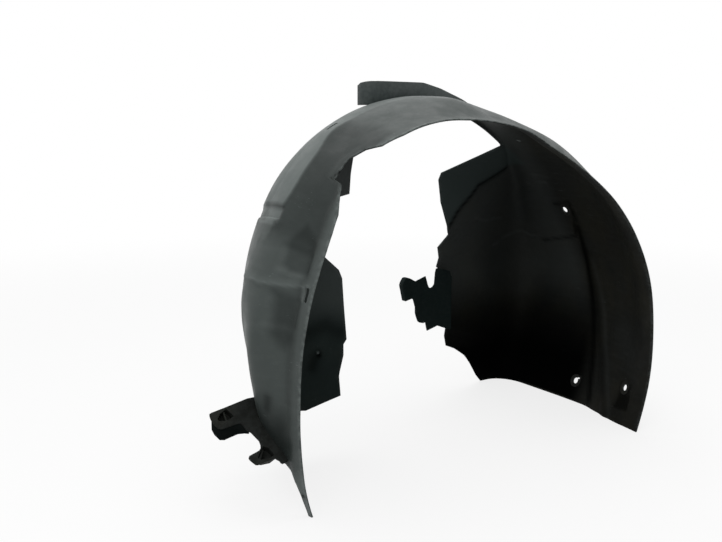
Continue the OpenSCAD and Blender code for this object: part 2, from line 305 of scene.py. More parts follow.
def outward(obj: Object) -> None:
    """Turns a closed mesh's faces outwards."""
    bm = bmesh.new()
    bm.from_mesh(obj.data)
    if bm.calc_volume(signed=True) < 0:
        bmesh.ops.reverse_faces(bm, faces=bm.faces)
    bm.to_mesh(obj.data)
    bm.free()


def smooth(obj: Object, angle: float = 32.0) -> None:
    """Shades a mesh smooth, with its edges over an angle kept sharp."""
    obj.data.shade_smooth()
    obj.data.set_sharp_from_angle(angle=math.radians(angle))


def combine(target: Object, others: Sequence[Object], way: Join) -> Object:
    """Adds solids to a solid, or cuts them out of it.

    Args:
        target: The solid that is kept.
        others: The solids that are used up.
        way: Whether they are added or cut out.

    Returns:
        The target as a plain mesh.
    """
    for other in others:
        step = target.modifiers.new("join", "BOOLEAN")
        step.operation = way.value
        step.solver = "EXACT"
        step.material_mode = "TRANSFER"
        step.object = other
    settle(target)
    for other in others:
        mesh = other.data
        bpy.data.objects.remove(other)
        bpy.data.meshes.remove(mesh)
    return target


def prism(name: str, outline: Table, low: float, high: float, place: Matrix) -> Object:
    """A plate with straight sides.

    Args:
        name: The object's name.
        outline: Its corners in the plate's plane, in mm.
        low: Where it starts along the plate's normal.
        high: Where it ends.
        place: The plate's place about the wheel's axis, in mm.

    Returns:
        The closed plate.
    """
    n = len(outline)
    rings = [Vector((u, v, w)) for w in (low, high) for u, v in outline]
    points = in_frame(np.array([tuple(place @ p) for p in rings]))
    faces = [list(range(n))[::-1], list(range(n, 2 * n))]
    faces += [[j, (j + 1) % n, n + (j + 1) % n, n + j] for j in range(n)]
    obj = make_object(name, points, faces)
    outward(obj)
    return obj


def round_edges(obj: Object, width: float, segments: int = 2, angle: float = 38.0) -> None:
    """Gives a piece its rounded edges, as a mould leaves them."""
    edge = obj.modifiers.new("edges", "BEVEL")
    edge.width = width * MM
    edge.segments = segments
    edge.limit_method = "ANGLE"
    edge.angle_limit = math.radians(angle)
    edge.harden_normals = False
    settle(obj)


def set_values(obj: Object, name: str, values: Array, kind: str = "FLOAT", domain: str = "POINT") -> None:
    """Stores a value for each point or face of a mesh, for its rule or its finish to read."""
    store = obj.data.attributes.get(name) or obj.data.attributes.new(name, kind, domain)
    store.data.foreach_set("vector" if kind == "FLOAT_VECTOR" else "value", np.ravel(values).tolist())


def mesh_points(obj: Object) -> Array:
    """A mesh's points about the wheel's axis, in mm."""
    flat = np.empty(len(obj.data.vertices) * 3)
    obj.data.vertices.foreach_get("co", flat)
    return flat.reshape(-1, 3) / MM - np.array(AXIS_AT)


# Nodes


def add_node(tree: Tree, kind: str, settings: dict | None = None,
             inputs: dict | None = None) -> Node:
    """Adds a node with its settings and links.

    Args:
        tree: The tree that gets it.
        kind: The node's type.
        settings: Its properties by name.
        inputs: Its inputs by name or number: a socket is linked and a value is set.

    Returns:
        The new node.
    """
    node = tree.nodes.new(kind)
    for name, value in (settings or {}).items():
        setattr(node, name, value)
    for key, value in (inputs or {}).items():
        socket = node.inputs[key]
        if isinstance(value, Socket):
            tree.links.new(value, socket)
        else:
            socket.default_value = value
    return node


class Slope(Enum):
    """How a value runs between two levels."""

    SOFT = "SMOOTHSTEP"
    EVEN = "LINEAR"


@dataclass
class Nodes:
    """A node tree that is being built."""

    tree: Tree

    def add(self, kind: str, settings: dict | None = None, inputs: dict | None = None) -> Node:
        """Adds a node to the tree."""
        return add_node(self.tree, kind, settings, inputs)

    def maths(self, operation: str, a: Socket | float, b: Socket | float = 0.0) -> Socket:
        """One sum of two values."""
        return self.add("ShaderNodeMath", {"operation": operation}, {0: a, 1: b}).outputs[0]

    def product(self, a: Socket, b: Socket | float) -> Socket:
        """Two values multiplied."""
        return self.maths("MULTIPLY", a, b)

    def blend(self, share: Socket, a: Socket | tuple, b: Socket | tuple) -> Socket:
        """Two colours mixed by a share."""
        return self.add("ShaderNodeMix", {"data_type": "RGBA"}, {0: share, 6: a, 7: b}).outputs[2]

    def either(self, share: Socket, a: Node, b: Node) -> Socket:
        """Two shaders mixed by a share."""
        return self.add("ShaderNodeMixShader", None, {0: share, 1: a.outputs[0], 2: b.outputs[0]}).outputs[0]

    def noise(self, place: Socket, size_mm: float, detail: float, rough: float = 0.55) -> Socket:
        """Noise of a real size."""
        inputs = {"Vector": place, "Scale": 1 / (size_mm * MM), "Detail": detail, "Roughness": rough}
        return self.add("ShaderNodeTexNoise", None, inputs).outputs["Fac"]

    def spread(self, value: Socket, low: float, high: float, to: tuple[float, float] = (0.0, 1.0),
               slope: Slope = Slope.SOFT) -> Socket:
        """A value between two levels, spread out to two others."""
        inputs = {"Value": value, "From Min": low, "From Max": high, "To Min": to[0], "To Max": to[1]}
        return self.add("ShaderNodeMapRange", {"interpolation_type": slope.value}, inputs).outputs["Result"]

    def drawn_out(self, place: Socket, turn: Point, stretch: Point) -> Socket:
        """Coordinates turned and drawn out along one way."""
        inputs = {"Vector": place, "Rotation": [math.radians(t) for t in turn], "Scale": stretch}
        return self.add("ShaderNodeMapping", None, inputs).outputs["Vector"]

    def stored(self, name: str) -> Socket:
        """A number that the piece's mesh holds."""
        return self.add("ShaderNodeAttribute", {"attribute_name": name}).outputs["Fac"]

    def bump(self, height: Socket, strength: float, depth_mm: float, under: Socket | None = None) -> Socket:
        """A bumpy surface, over another one where that is given."""
        inputs = {"Strength": strength, "Distance": depth_mm * MM, "Height": height}
        if under is not None:
            inputs["Normal"] = under
        return self.add("ShaderNodeBump", None, inputs).outputs["Normal"]


def emptied(owner: Material | bpy.types.World) -> Nodes:
    """The node tree of a material or a world, cleared."""
    owner.use_nodes = True
    owner.node_tree.nodes.clear()
    return Nodes(owner.node_tree)


def linear(colour: str) -> tuple[float, float, float, float]:
    """An sRGB hex colour as linear values."""
    parts = [int(colour.lstrip("#")[k:k + 2], 16) / 255 for k in (0, 2, 4)]
    turned = [p / 12.92 if p <= 0.04045 else ((p + 0.055) / 1.055) ** 2.4 for p in parts]
    return (turned[0], turned[1], turned[2], 1.0)


# Finishes


@dataclass(frozen=True)
class MouldedPolypropylene:
    """Injection-moulded polypropylene, black in the mass.

    The eye sees a soft sheen broken by a fine mould grain, cloudy patches where it has been handled,
    short pale scuffs, edges worn a little lighter, and painted light, a painted sheen and painted shade.
    """

    name: str
    base: str
    cloud: str
    # Colour of worn edges, scuffs and flow marks, and also of the painted light
    worn_and_lit: str
    # Colour that the painted sheen mixes towards
    painted_sheen: str
    roughness: float
    specular: float
    ior: float = 1.49
    # Colour of the deepest shade, linear
    shade: tuple = (0.0008, 0.001, 0.001, 1)
    # The mould's grain is about 0.4 mm. It is drawn coarser, so that it shows.
    grain_mm: float = 1.6
    grain_depth_mm: float = 0.2
    grain_strength: float = 0.6
    wave_mm: float = 22.0
    wave_depth_mm: float = 0.9
    wave_strength: float = 0.35
    cloud_mm: float = 70.0
    cloud_share: float = 0.5
    # Flow marks run across the sheet
    flow_mm: float = 9.0
    flow_share: float = 0.04
    flow_way: Point = (1, 0.12, 1)
    # Scuffs are thin and slanting, and lie in patches
    scuff_mm: float = 2.2
    scuff_share: float = 0.4
    scuff_turn: Point = (24, 38, 12)
    scuff_way: Point = (1, 0.05, 1)
    patch_mm: float = 38.0
    wear_mm: float = 7.0
    wear_share: float = 0.7
    handled_mm: float = 30.0
    roughness_spread: float = 0.10

    def material(self) -> Material:
        """Builds the material."""
        mat = bpy.data.materials.new(self.name)
        nodes = emptied(mat)
        place = nodes.add("ShaderNodeTexCoord").outputs["Object"]
        # The sheen is taken away where painted shade lies
        unshaded = nodes.maths("SUBTRACT", 1.0, nodes.stored("painted_shade"))
        skin = nodes.add("ShaderNodeBsdfPrincipled", None, {
            "Base Color": self._colour(nodes, place), "Roughness": self._roughness(nodes, place),
            "Normal": self._grain(nodes, place), "IOR": self.ior,
            "Specular IOR Level": nodes.product(unshaded, self.specular)})
        nodes.add("ShaderNodeOutputMaterial", None, {"Surface": skin.outputs["BSDF"]})
        return mat

    def _colour(self, nodes: Nodes, place: Socket) -> Socket:
        """Black plastic with clouds, flow marks, scuffs and worn edges, then a painted sheen, painted light
        and painted shade.
        """
        worn_and_lit = linear(self.worn_and_lit)
        clouds = nodes.spread(nodes.noise(place, self.cloud_mm, 3), 0.35, 0.7)
        colour = nodes.blend(nodes.product(clouds, self.cloud_share), linear(self.base), linear(self.cloud))
        # Painted sheen on the faces that catch the light
        colour = nodes.blend(nodes.stored("painted_sheen"), colour, linear(self.painted_sheen))
        along = nodes.drawn_out(place, (0, 0, 0), self.flow_way)
        flow = nodes.spread(nodes.noise(along, self.flow_mm, 2), 0.4, 0.75)
        slanting = nodes.drawn_out(place, self.scuff_turn, self.scuff_way)
        thin = nodes.spread(nodes.noise(slanting, self.scuff_mm, 1), 0.66, 0.74)
        patches = nodes.spread(nodes.noise(place, self.patch_mm, 1), 0.55, 0.7)
        worn = nodes.spread(nodes.noise(place, self.wear_mm, 2), 0.3, 0.7)
        # Flow marks, scuffs and worn edges are the plastic's own; the stored light is painted light
        for share, amount in ((flow, self.flow_share), (nodes.product(thin, patches), self.scuff_share),
                              (nodes.product(nodes.stored("edge"), worn), self.wear_share),
                              (nodes.stored("light"), 1.0)):
            colour = nodes.blend(nodes.product(share, amount), colour, worn_and_lit)
        # Painted shade darkens the colour towards the deepest shade colour
        return nodes.blend(nodes.stored("painted_shade"), colour, self.shade)

    def _grain(self, nodes: Nodes, place: Socket) -> Socket:
        """The mould's grain, with faint wider waves under it."""
        waves = nodes.bump(nodes.noise(place, self.wave_mm, 1, 0.5), self.wave_strength, self.wave_depth_mm)
        return nodes.bump(nodes.noise(place, self.grain_mm, 2, 0.6), self.grain_strength,
                          self.grain_depth_mm, waves)

    def _roughness(self, nodes: Nodes, place: Socket) -> Socket:
        """Handled patches are a little smoother than the rest."""
        ends = (self.roughness - self.roughness_spread, self.roughness + self.roughness_spread)
        return nodes.spread(nodes.noise(place, self.handled_mm, 3, 0.6), 0.3, 0.7, ends, Slope.EVEN)


# One plastic on both faces: the outer face's paler colours are painted light, the inner face's darker colours
# painted shade
OUTER_SKIN = MouldedPolypropylene(
    name="lit_polypropylene", base="#383f3d", cloud="#404745", worn_and_lit="#7b8381", painted_sheen="#343c3d",
    roughness=0.48, specular=0.3)
INNER_SKIN = MouldedPolypropylene(
    name="shaded_polypropylene", base="#20211f", cloud="#2f2e26", worn_and_lit="#5a5f5e", painted_sheen="#324140",
    roughness=0.6, specular=0.08)


def marks(skin: Skin, plane: Plane, *rows: Sequence) -> tuple[Mark, ...]:
    """Marks on one face and one plane, each given as a path, its half width and its amount."""
    return tuple(Mark(skin, plane, *row) for row in rows)


# Painted light and painted shade at folds, steps, recesses, ribs and holes
MARKS = (
    # Front leg: painted shade and light at the short step, the two recesses, the rib, the dimple and the torn
    # tab; then painted light along the top of the arch, and painted shade at the tail's end and round its pin
    # hole
    marks(Skin.OUTER, Plane.LEG,
          (((144.6, 94), (144.4, 120), (144.3, 160)), 2.6, -0.5),
          (((145.4, 96), (148.2, 90), (148.4, 122), (145.4, 140), (145.4, 96)), 3, 0.3, True),
          (((148.6, 96), (148.4, 150)), 2.2, 0.4),
          (((146, 46), (149, 20), (156, 18), (156.8, 50), (155.3, 60), (152.2, 60), (150, 60), (146, 46)),
            5, -0.3, True),
          (((161.6, 58), (161.6, 28), (171, 24), (173.4, 34), (170.5, 52), (161.6, 58)), 9, -0.42, True),
          (((150, 24), (165, 25), (185, 24)), 6, -0.22),
          (((158.4, 9), (159.9, 47), (160.7, 79), (160.4, 105), (160.2, 140)), 2.4, 0.25),
          (((184.6, 56), (187.2, 60)), 7, -0.48),
          (((131.6, 37), (132.6, 45), (135.0, 50)), 1.3, -0.9),
          (((126, 47), (129.5, 58), (134, 57)), 5, 0.14),
          (((159.1, 17.6), (161.9, 17.6)), 1.6, 0.5),
          (((199.5, 50), (199.3, 180)), 6, -0.85),
          (((60, 118), (80, 126), (104, 132)), 30, 0.12),
          (((210.5, 2), (213, 2)), 4, -0.5),
          (((205.4, 5), (205.4, 8)), 4, -0.6))
    # Front wall: painted light at its top and middle, painted shade round and below the dimple
    + marks(Skin.INNER, Plane.FRONT_WALL,
            (((-230, 330), (-60, 330), (-60, 222), (-230, 222), (-230, 330)), 6, 0.95, True),
            (((-290, 170), (-140, 170), (-140, 30), (-290, 50), (-290, 170)), 34, 0.42, True),
            (((-205, -22), (-204, -26)), 5, -0.96),
            (((-212, -30), (-216, -44)), 11, -0.5),
            (((-230, 12), (-190, 22), (-165, 8)), 15, -0.45))
    # Rear wall: painted shade along the fold below its upper flap, and a painted highlight on a short crease
    + marks(Skin.INNER, Plane.REAR_WALL,
            (((266, 257), (255, 250), (224, 235), (202, 226), (187, 206), (161, 180), (143, 152)), 5.0,
              -0.85),
            (((214, 161), (252, 152), (274, 155), (296, 155)), 2.2, 0.3))
    # Rear leg: painted shade round the field of the upper hole, along the step and in the pocket, and painted
    # highlights on the pleats and beside the step
    + marks(Skin.INNER, Plane.LEG,
            (((15.8, 312), (18.9, 214), (27.0, 202)), 3.6, -0.6),
            (((29.1, 244), (29.8, 205), (24, 200)), 4, -0.6),
            (((22, 203), (8, 198), (0, 190), (-10.6, 178), (-21, 164), (-27, 150)), 8, -0.8),
            (((14, 196), (4, 182), (-2, 172), (-10, 160), (-22, 128), (-29, 100)), 13, -0.35),
            (((12, 184), (4, 168), (-2, 156), (-10, 144), (-22, 108), (-29, 80)), 6, 0.1),
            (((-19.4, 42), (-26.4, 40), (-26.4, 78), (-19.4, 74), (-19.4, 42)), 5, -0.6, True),
            (((39.4, 265), (38.8, 229)), 2.2, 0.3),
            (((36.1, 292), (36.8, 242)), 2.2, 0.26),
            (((19.5, 364), (17.0, 345), (16.6, 323)), 2.4, 0.35),
            (((-6, 92), (-12, 60)), 24, 0.07))
)


# The sheet's form


@dataclass
class ArchForm:
    """The tub's outer face: lines round the arch, and sections across it."""

    arch_r: float = 350.0
    front_depth: float = 212.0
    rear_depth: float = 405.0
    sheet_t: float = 2.5
    lip_w: float = 25.0
    lip_rise: float = 4.0
    front_round: float = 28.0
    rear_round: float = 70.0
    top_edge_w: float = 8.0
    step_h: float = 4.0
    crease_w: float = 20.0
    bulge_y: float = 75.0
    crest_y: float = 120.0
    back_y: float = 165.0
    first_angle: float = -44.0
    rear_wall_end: float = 52.7
    front_wall_start: float = 117.0
    front_wall_end: float = 199.5
    tail_end: float = 213.0
    edge_gap: float = 0.4
    # Heights of the step's brow, the folds, the rib, the dent, the pleats and the field
    brow_h: float = 1.6
    lip_fold_h: float = 2.2
    crest_fold_h: float = 5.0
    rib_h: float = 3.0
    dent_h: float = 2.0
    pleat_h: float = 2.2
    pleat_lean: float = 0.012
    field_h: float = 2.6
    # Recesses of the front leg and the pocket of the rear one: height outwards, angles and depths
    pressings: Sequence = (
        (-3.5, (144.8, 147.0, 0.6), (100, 180, 12)), (-3.2, (152.2, 156.2, 1.4), (28, 62, 9)),
        (-3.2, (162.6, 167.8, 2.0), (28, 62, 9)), (4.5, (-26.0, -22.4, 0.8), (42, 76, 6)))
    # Bead behind the short step: height, angle, half width and depths
    beads: Sequence = ((1.6, 148.2, 0.8, (92, 160, 14)),)
    # Short pleats high on the rear leg: angle, half width, where they lean from and depths
    pleats: Sequence = ((39.0, 0.5, 230, (232, 262, 10)), (36.3, 0.6, 245, (248, 288, 12)))
    # How far the outer face lies beyond arch_r, at each angle
    edge_line: Table = (
        (-44, 45), (-31, 24), (-16, 11), (-2, 0), (12, -6), (27, -16), (41, -25), (55, -32), (71, -29),
        (82, -15), (91, -6), (101, 6), (108, 16), (116, 24), (124, 27), (134, 20), (143, 12), (151, 3),
        (159, -2), (170, -4), (183, -1), (193, 8), (199, 16), (205, 26), (213, 38))
    bulge_line: Table = (
        (-44, 45), (-31, 34), (-15, 33), (0, 30), (20, 24), (41, 16), (48, 11), (60, 7), (74, 5), (88, 16),
        (95, 29), (101, 33), (112, 36), (123, 37), (141, 35), (156, 34), (171, 36), (180, 32), (185, 28),
        (192, 25), (200, 26), (213, 44))
    crest_line: Table = (
        (-44, 52), (-31, 42), (-15, 41), (0, 40), (20, 38), (37, 37), (44, 32), (54, 25), (69, 16),
        (83, 21), (91, 32), (97, 37), (102, 41), (117, 45), (130, 45), (141, 43), (156, 40), (165, 37),
        (171, 28), (181, 13), (188, 11), (200, 10), (213, 20))
    back_line: Table = (
        (-44, 58), (-31, 52), (-15, 48), (0, 46), (20, 44), (40, 42), (50, 37), (64, 29), (79, 26),
        (86, 33), (92, 36), (98, 39), (106, 43), (114, 46), (130, 46), (140, 42), (152, 30), (162, 19),
        (170, 11), (175, 3), (184, -9), (200, -12), (213, -12))
    shoulder_line: Table = (
        (-44, 50), (0, 50), (30, 42), (45, 33), (54, 30), (70, 30), (80, 35), (94, 38), (102, 37),
        (120, 34), (128, 31), (138, 23), (145, 14), (157, 3), (171, -11), (177, -18), (186, -27),
        (200, -32), (213, -32))
    depth_line: Table = (
        (-44, 1), (-20, 0.99), (0, 0.97), (15, 0.88), (30, 0.72), (45, 0.46), (54, 0.26), (70, 0.18),
        (85, 0.08), (100, 0), (215, 0))
    notch_line: Table = (
        (-44, 0), (119, 0), (122, 6), (124, 10), (126, 32), (129.5, 48), (132.5, 46), (135, 44),
        (135.4, 28), (136.7, 22), (138.9, 13), (142, 3), (146, 0), (215, 0))
    tail_line: Table = ((199.5, 1), (200.5, 0.7), (202.6, 0.42), (205.2, 0.28), (208.5, 0.2), (213, 0.16))
    crease_line: Table = (
        (-44, 60), (-29, 92), (-24, 112), (-15, 140), (-2, 165), (4, 177), (17, 198), (30, 210), (45, 200),
        (60, 160), (80, 130), (100, 120), (112, 128), (124, 125), (130, 109), (135, 103), (142, 97),
        (150, 104), (160, 120), (215, 120))
    # Inner outlines of the side walls: the leg's angle and the point
    rear_line: Sequence = (
        (-44, (262, 398, -250)), (-33, (293, 396, -195)), (-31, (272, 388, -176)), (-29, (248, 378, -146)),
        (-27, (228, 372, -124)), (-25, (198, 366, -105)), (-22, (172, 362, -94)), (-19, (160, 352, -70)),
        (-17, (158, 345, -50)), (16, (158, 345, 52)), (20, (126, 336, 72)), (27, (128, 331, 90)),
        (31, (124, 330, 110)), (36, (143, 322, 134)), (45, (114, 312, 197)), (50, (102, 304, 240)),
        (52.7, (105, 300, 253)))
    front_line: Sequence = (
        (117, (-135, 208, 300)), (121, (-142, 208, 262)), (124, (-145, 207, 231)), (126, (-160, 207, 228)),
        (129.5, (-184, 206, 222)), (138, (-195, 206, 160)), (142, (-192, 206, 134)),
        (147, (-166, 205, 110)), (152, (-160, 205, 96)), (162, (-157, 205, 51)), (180, (-152, 205, -6)),
        (183, (-158, 205, -14)), (188, (-158, 205, -32)), (194, (-167, 205, -65)),
        (197, (-164, 205, -100)), (199.5, (-230, 205, -115)))
    # Rib across the front leg: depth and angle
    rib_line: Table = ((5, 158.3), (9, 158.4), (47, 159.9), (79, 160.7), (105, 160.4), (150, 160.2))
    # Raised field round the upper hole of the rear leg, as a path of angle and depth
    field_path: Table = (
        (34, 350), (34, 285), (31.8, 226), (28, 199), (19, 209), (15.6, 311), (20, 364), (34, 350))
    # Fold between the rear wall and its upper flap, as x and z
    flap_path: Table = (
        (330, 286), (282, 268), (255, 250), (224, 235), (202, 226), (187, 206), (161, 180), (143, 152),
        (120, 120))

    def depth(self, a: Array | float) -> Array:
        """Depth of the tub, from the outer edge's plane to the side wall."""
        return self.front_depth + (self.rear_depth - self.front_depth) * line(self.depth_line, a)

    def profile(self, a: float) -> Table:
        """The section's main points at an angle: depth and height beyond arch_r."""
        lean = float(curve(self.edge_line, a))
        lines = ((self.bulge_y, self.bulge_line), (self.crest_y, self.crest_line),
                 (self.back_y, self.back_line), (float(self.depth(a)), self.shoulder_line))
        return ((0, lean), (self.lip_w, lean + self.lip_rise),
                *((y, float(curve(table, a))) for y, table in lines))

    def relief(self, a: float, y: Array) -> Array:
        """What stands out of the smooth tub, outwards: steps, folds, recesses, ribs and fields."""
        crease = float(curve(self.crease_line, a))
        out = self.step_h * ramp(y, crease, crease + self.crease_w) * window(a, -50, 14, 10)
        for height, centre, half, across in ((self.brow_h, crease - 12, 22, (-50, 12, 8)),
                                             (self.lip_fold_h, 17, 10, (139, 215, 6)),
                                             (self.crest_fold_h, crease, 46, (124, 143.5, 8))):
            out += height * ridge(y, centre, half) * window(a, *across)
        for height, across, deep in self.pressings:
            out += height * window(a, *across) * window(y, *deep)
        for height, centre, half, deep in self.beads:
            out += height * bell(a, centre, half) * window(y, *deep)
        out += self.rib_h * ridge(a, line(self.rib_line, y), 1.3) * window(y, 20, 130, 14)
        out -= self.dent_h * bell(a, 185.9, 2.0) * bell(y, 58, 11)
        for centre, half, foot, deep in self.pleats:
            bend = centre - (y - foot) * self.pleat_lean
            out -= self.pleat_h * bell(a, bend, half) * window(y, *deep)
        return out + self._field(a, y)

    def _field(self, a: float, y: Array) -> Array:
        """The raised field round the rear leg's upper hole, towards the wheel."""
        if not 10 < a < 40:
            return np.zeros(np.shape(y))
        path = [(p[0] * MM_PER_DEGREE, p[1]) for p in self.field_path]
        side = path_side(path, np.full(np.shape(y), a * MM_PER_DEGREE), np.asarray(y, float))
        return -self.field_h * ramp(-side, -2.5, 3.0)

    def pressed(self, p: Array) -> Array:
        """The rear wall with its upper flap pressed a little towards the wheel.

        Args:
            p: Points of the plain wall.

        Returns:
            The points moved.
        """
        side = -path_side(self.flap_path, p[:, 0], p[:, 2])
        share = ramp(side, -4, 5) * ramp(p[:, 1], 236, 262)
        return p - np.array([0, 1, 0]) * (3.4 * share)[:, None]

    def radius(self, a: float, y: Array) -> Array:
        """The outer face's distance from the axis."""
        y = np.asarray(y, float)
        return self.arch_r + curve(self.profile(a), y) + self.relief(a, y)

    def at(self, a: float, y: Array | float) -> Array:
        """Points of the outer face."""
        y = np.atleast_1d(np.asarray(y, float))
        r = self.radius(a, y)
        t = math.radians(a)
        return np.stack([r * math.cos(t), y, r * math.sin(t)], -1)

    def wall_way(self, outline: Sequence, a: float) -> Array:
        """The way that a side wall runs from the tub's corner."""
        return unit(corner_line(outline, a) - self.at(a, float(self.depth(a)))[0])

    def edge_way(self, a: float) -> Array:
        """The way that the turned-in top edge points, which meets each side wall's own way."""
        rear = 1 - float(ramp(a, self.rear_wall_end, 62))
        front = float(ramp(a, 110, self.front_wall_start - self.edge_gap))
        t = math.radians(a)
        radial = np.array([math.cos(t), 0, math.sin(t)])
        return unit(rear * self.wall_way(self.rear_line, self.rear_wall_end)
                    + front * self.wall_way(self.front_line, self.front_wall_start)
                    - (1 - rear - front) * radial)

    def wall_end(self, a: float, corner: Array) -> Array:
        """Where the section ends."""
        if a <= self.rear_wall_end:
            return corner_line(self.rear_line, a)
        if a >= self.front_wall_start:
            return corner_line(self.front_line, a)
        return corner + self.top_edge_w * self.edge_way(a)

    def round_at(self, a: float) -> float:
        """Radius of the corner between the tub and its side wall."""
        least = 0.6 * self.top_edge_w
        return (least + (self.rear_round - least) * (1 - float(ramp(a, 0, self.rear_wall_end)))
                + (self.front_round - least) * float(ramp(a, self.front_wall_start, 130)))


@dataclass
class SheetGrid:
    """Stations round the arch and columns across it, as shares of each stretch of the section."""

    form: ArchForm
    pitch: float = 0.85
    # Closer together down the front leg, where the folds and recesses are
    fine_pitch: float = 0.5
    fine_from: float = 119.0
    fine_to: float = 170.0
    # Where the notch's edge turns sharply
    notch_turns: Sequence = (135.0, 135.4)
    # Columns in each stretch
    lip: int = 4
    flank: int = 36
    crease: int = 8
    back: int = 26
    corner: int = 8
    wall: int = 48
    tail_flank: int = 5

    def stations(self) -> list[float]:
        """Angles of the sections, with those where an outline turns."""
        f = self.form
        turns = [f.first_angle, f.rear_wall_end, f.rear_wall_end + f.edge_gap, f.front_wall_start,
                 f.front_wall_start - f.edge_gap, f.front_wall_end, *self.notch_turns]
        turns += [row[0] for row in f.rear_line if row[0] > -34] + [row[0] for row in f.front_line]
        even = list(np.arange(f.first_angle, self.fine_from, self.pitch))
        even += list(np.arange(self.fine_from, self.fine_to, self.fine_pitch))
        even += list(np.arange(self.fine_to, f.front_wall_end, self.pitch))
        kept = [a for a in even if min(abs(a - t) for t in turns) > 0.45 * self.fine_pitch]
        return sorted(set(kept) | set(turns))

    def section(self, a: float) -> Array:
        """Points of the outer face across one station, from the outer edge to the wall's end."""
        f = self.form
        s_y = float(f.depth(a))
        s = f.at(a, s_y)[0]
        e = f.wall_end(a, s)
        c = min(f.round_at(a), 0.6 * np.linalg.norm(e - s))
        edge_y = float(line(f.notch_line, a))
        a_y = s_y - c
        fold_y = min(float(curve(f.crease_line, a)), 0.7 * a_y)
        lip_y = edge_y + f.lip_w * fold_y / f.crest_y * (1 - edge_y / f.crest_y)
        foot_y = min(fold_y + f.crease_w, 0.5 * (fold_y + a_y))
        stretches = [(edge_y, lip_y, self.lip), (lip_y, fold_y, self.flank), (fold_y, foot_y, self.crease),
                     (foot_y, a_y, self.back)]
        y = np.concatenate([np.linspace(p, q, n, endpoint=False) for p, q, n in stretches])
        p = f.at(a, a_y)[0]
        q = s + unit(e - s) * c
        u = np.linspace(0, 1, self.corner, endpoint=False)[:, None]
        bend = p * (1 - u) ** 2 + 2 * s * u * (1 - u) + q * u**2
        u = np.linspace(0, 1, self.wall + 1)[:, None]
        wall = q * (1 - u) + e * u
        return np.concatenate([f.at(a, y), bend, f.pressed(wall) if a <= f.rear_wall_end else wall])

    def tail(self, a: float, y: Array) -> Array:
        """Points of the outer face across one station of the tail."""
        return self.form.at(a, float(line(self.form.tail_line, a)) * y)


@dataclass
class Rule(Nodes):
    """A Geometry Nodes tree with named inputs, run once on a mesh."""

    tree: Tree = field(init=False)
    name: str
    start: Node = field(init=False)
    keys: dict[str, str] = field(init=False, default_factory=dict)

    def __post_init__(self) -> None:
        """Makes the empty tree."""
        self.tree = bpy.data.node_groups.new(self.name, "GeometryNodeTree")
        for way in ("INPUT", "OUTPUT"):
            self.tree.interface.new_socket("Geometry", in_out=way, socket_type="NodeSocketGeometry")
        self.start = self.add("NodeGroupInput")

    def sizes(self, *names: str, kind: str = "NodeSocketFloat") -> list[Socket]:
        """Adds named inputs and returns their sockets inside the tree."""
        for name in names:
            made = self.tree.interface.new_socket(name, in_out="INPUT", socket_type=kind)
            self.keys[name] = made.identifier
        return [self.start.outputs[name] for name in names]

    def held(self, name: str, kind: str) -> Socket:
        """A value that the mesh's points or faces hold."""
        return self.add("GeometryNodeInputNamedAttribute", {"data_type": kind}, {"Name": name}).outputs[0]

    def finish(self, shape: Socket, skins: Sequence[dict]) -> None:
        """Ends the tree in plain geometry with its materials.

        Args:
            shape: The geometry so far.
            skins: Each material's socket, and the faces that it covers if not all.
        """
        shape = self.add("GeometryNodeRealizeInstances", None, {"Geometry": shape}).outputs[0]
        for skin in skins:
            shape = self.add("GeometryNodeSetMaterial", None, {"Geometry": shape, **skin}).outputs[0]
        self.add("NodeGroupOutput", None, {0: shape})

    def run(self, obj: Object, values: dict) -> Object:
        """Runs the tree on an object with its named sizes and leaves a plain mesh."""
        step = obj.modifiers.new(self.name, "NODES")
        step.node_group = self.tree
        for name, value in values.items():
            step[self.keys[name]] = value
        return settle(obj)


def wrap_rule() -> Rule:
    """The tree that bends a flat sheet round the wheel's axis.

    Its points come in as angle, depth and distance from the axis. The moulding's slight unevenness is
    noise with a fixed seed.

    Returns:
        The rule.
    """
    rule = Rule("bend_round_the_axle")
    forward, inboard, height, uneven, wave = rule.sizes(
        "Axle forward", "Axle inboard", "Axle height", "Unevenness", "Unevenness width")
    outer, inner = rule.sizes("Outer finish", "Inner finish", kind="NodeSocketMaterial")
    place = rule.add("GeometryNodeInputPosition").outputs[0]
    parts = rule.add("ShaderNodeSeparateXYZ", None, {0: place}).outputs
    cos, sin = rule.maths("COSINE", parts[0]), rule.maths("SINE", parts[0])

    def bent(r: Socket) -> Socket:
        """Points at a distance from the axis."""
        x = rule.maths("ADD", rule.product(r, cos), forward)
        z = rule.maths("ADD", rule.product(r, sin), height)
        y = rule.maths("ADD", parts[1], inboard)
        return rule.add("ShaderNodeCombineXYZ", None, {0: x, 1: y, 2: z}).outputs[0]

    noise = rule.add("ShaderNodeTexNoise", {"noise_dimensions": "4D"}, {
        "Vector": bent(parts[2]), "W": UNEVEN_SEED, "Scale": rule.maths("DIVIDE", 1.0, wave), "Detail": 1.0})
    lift = rule.product(rule.maths("SUBTRACT", noise.outputs[0], 0.5), uneven)
    moved = rule.add("GeometryNodeSetPosition", None, {
        "Geometry": rule.start.outputs[0], "Position": bent(rule.maths("ADD", parts[2], lift))})
    rule.finish(moved.outputs[0], [
        {"Material": outer}, {"Material": inner, "Selection": rule.held("inside", "BOOLEAN")}])
    return rule


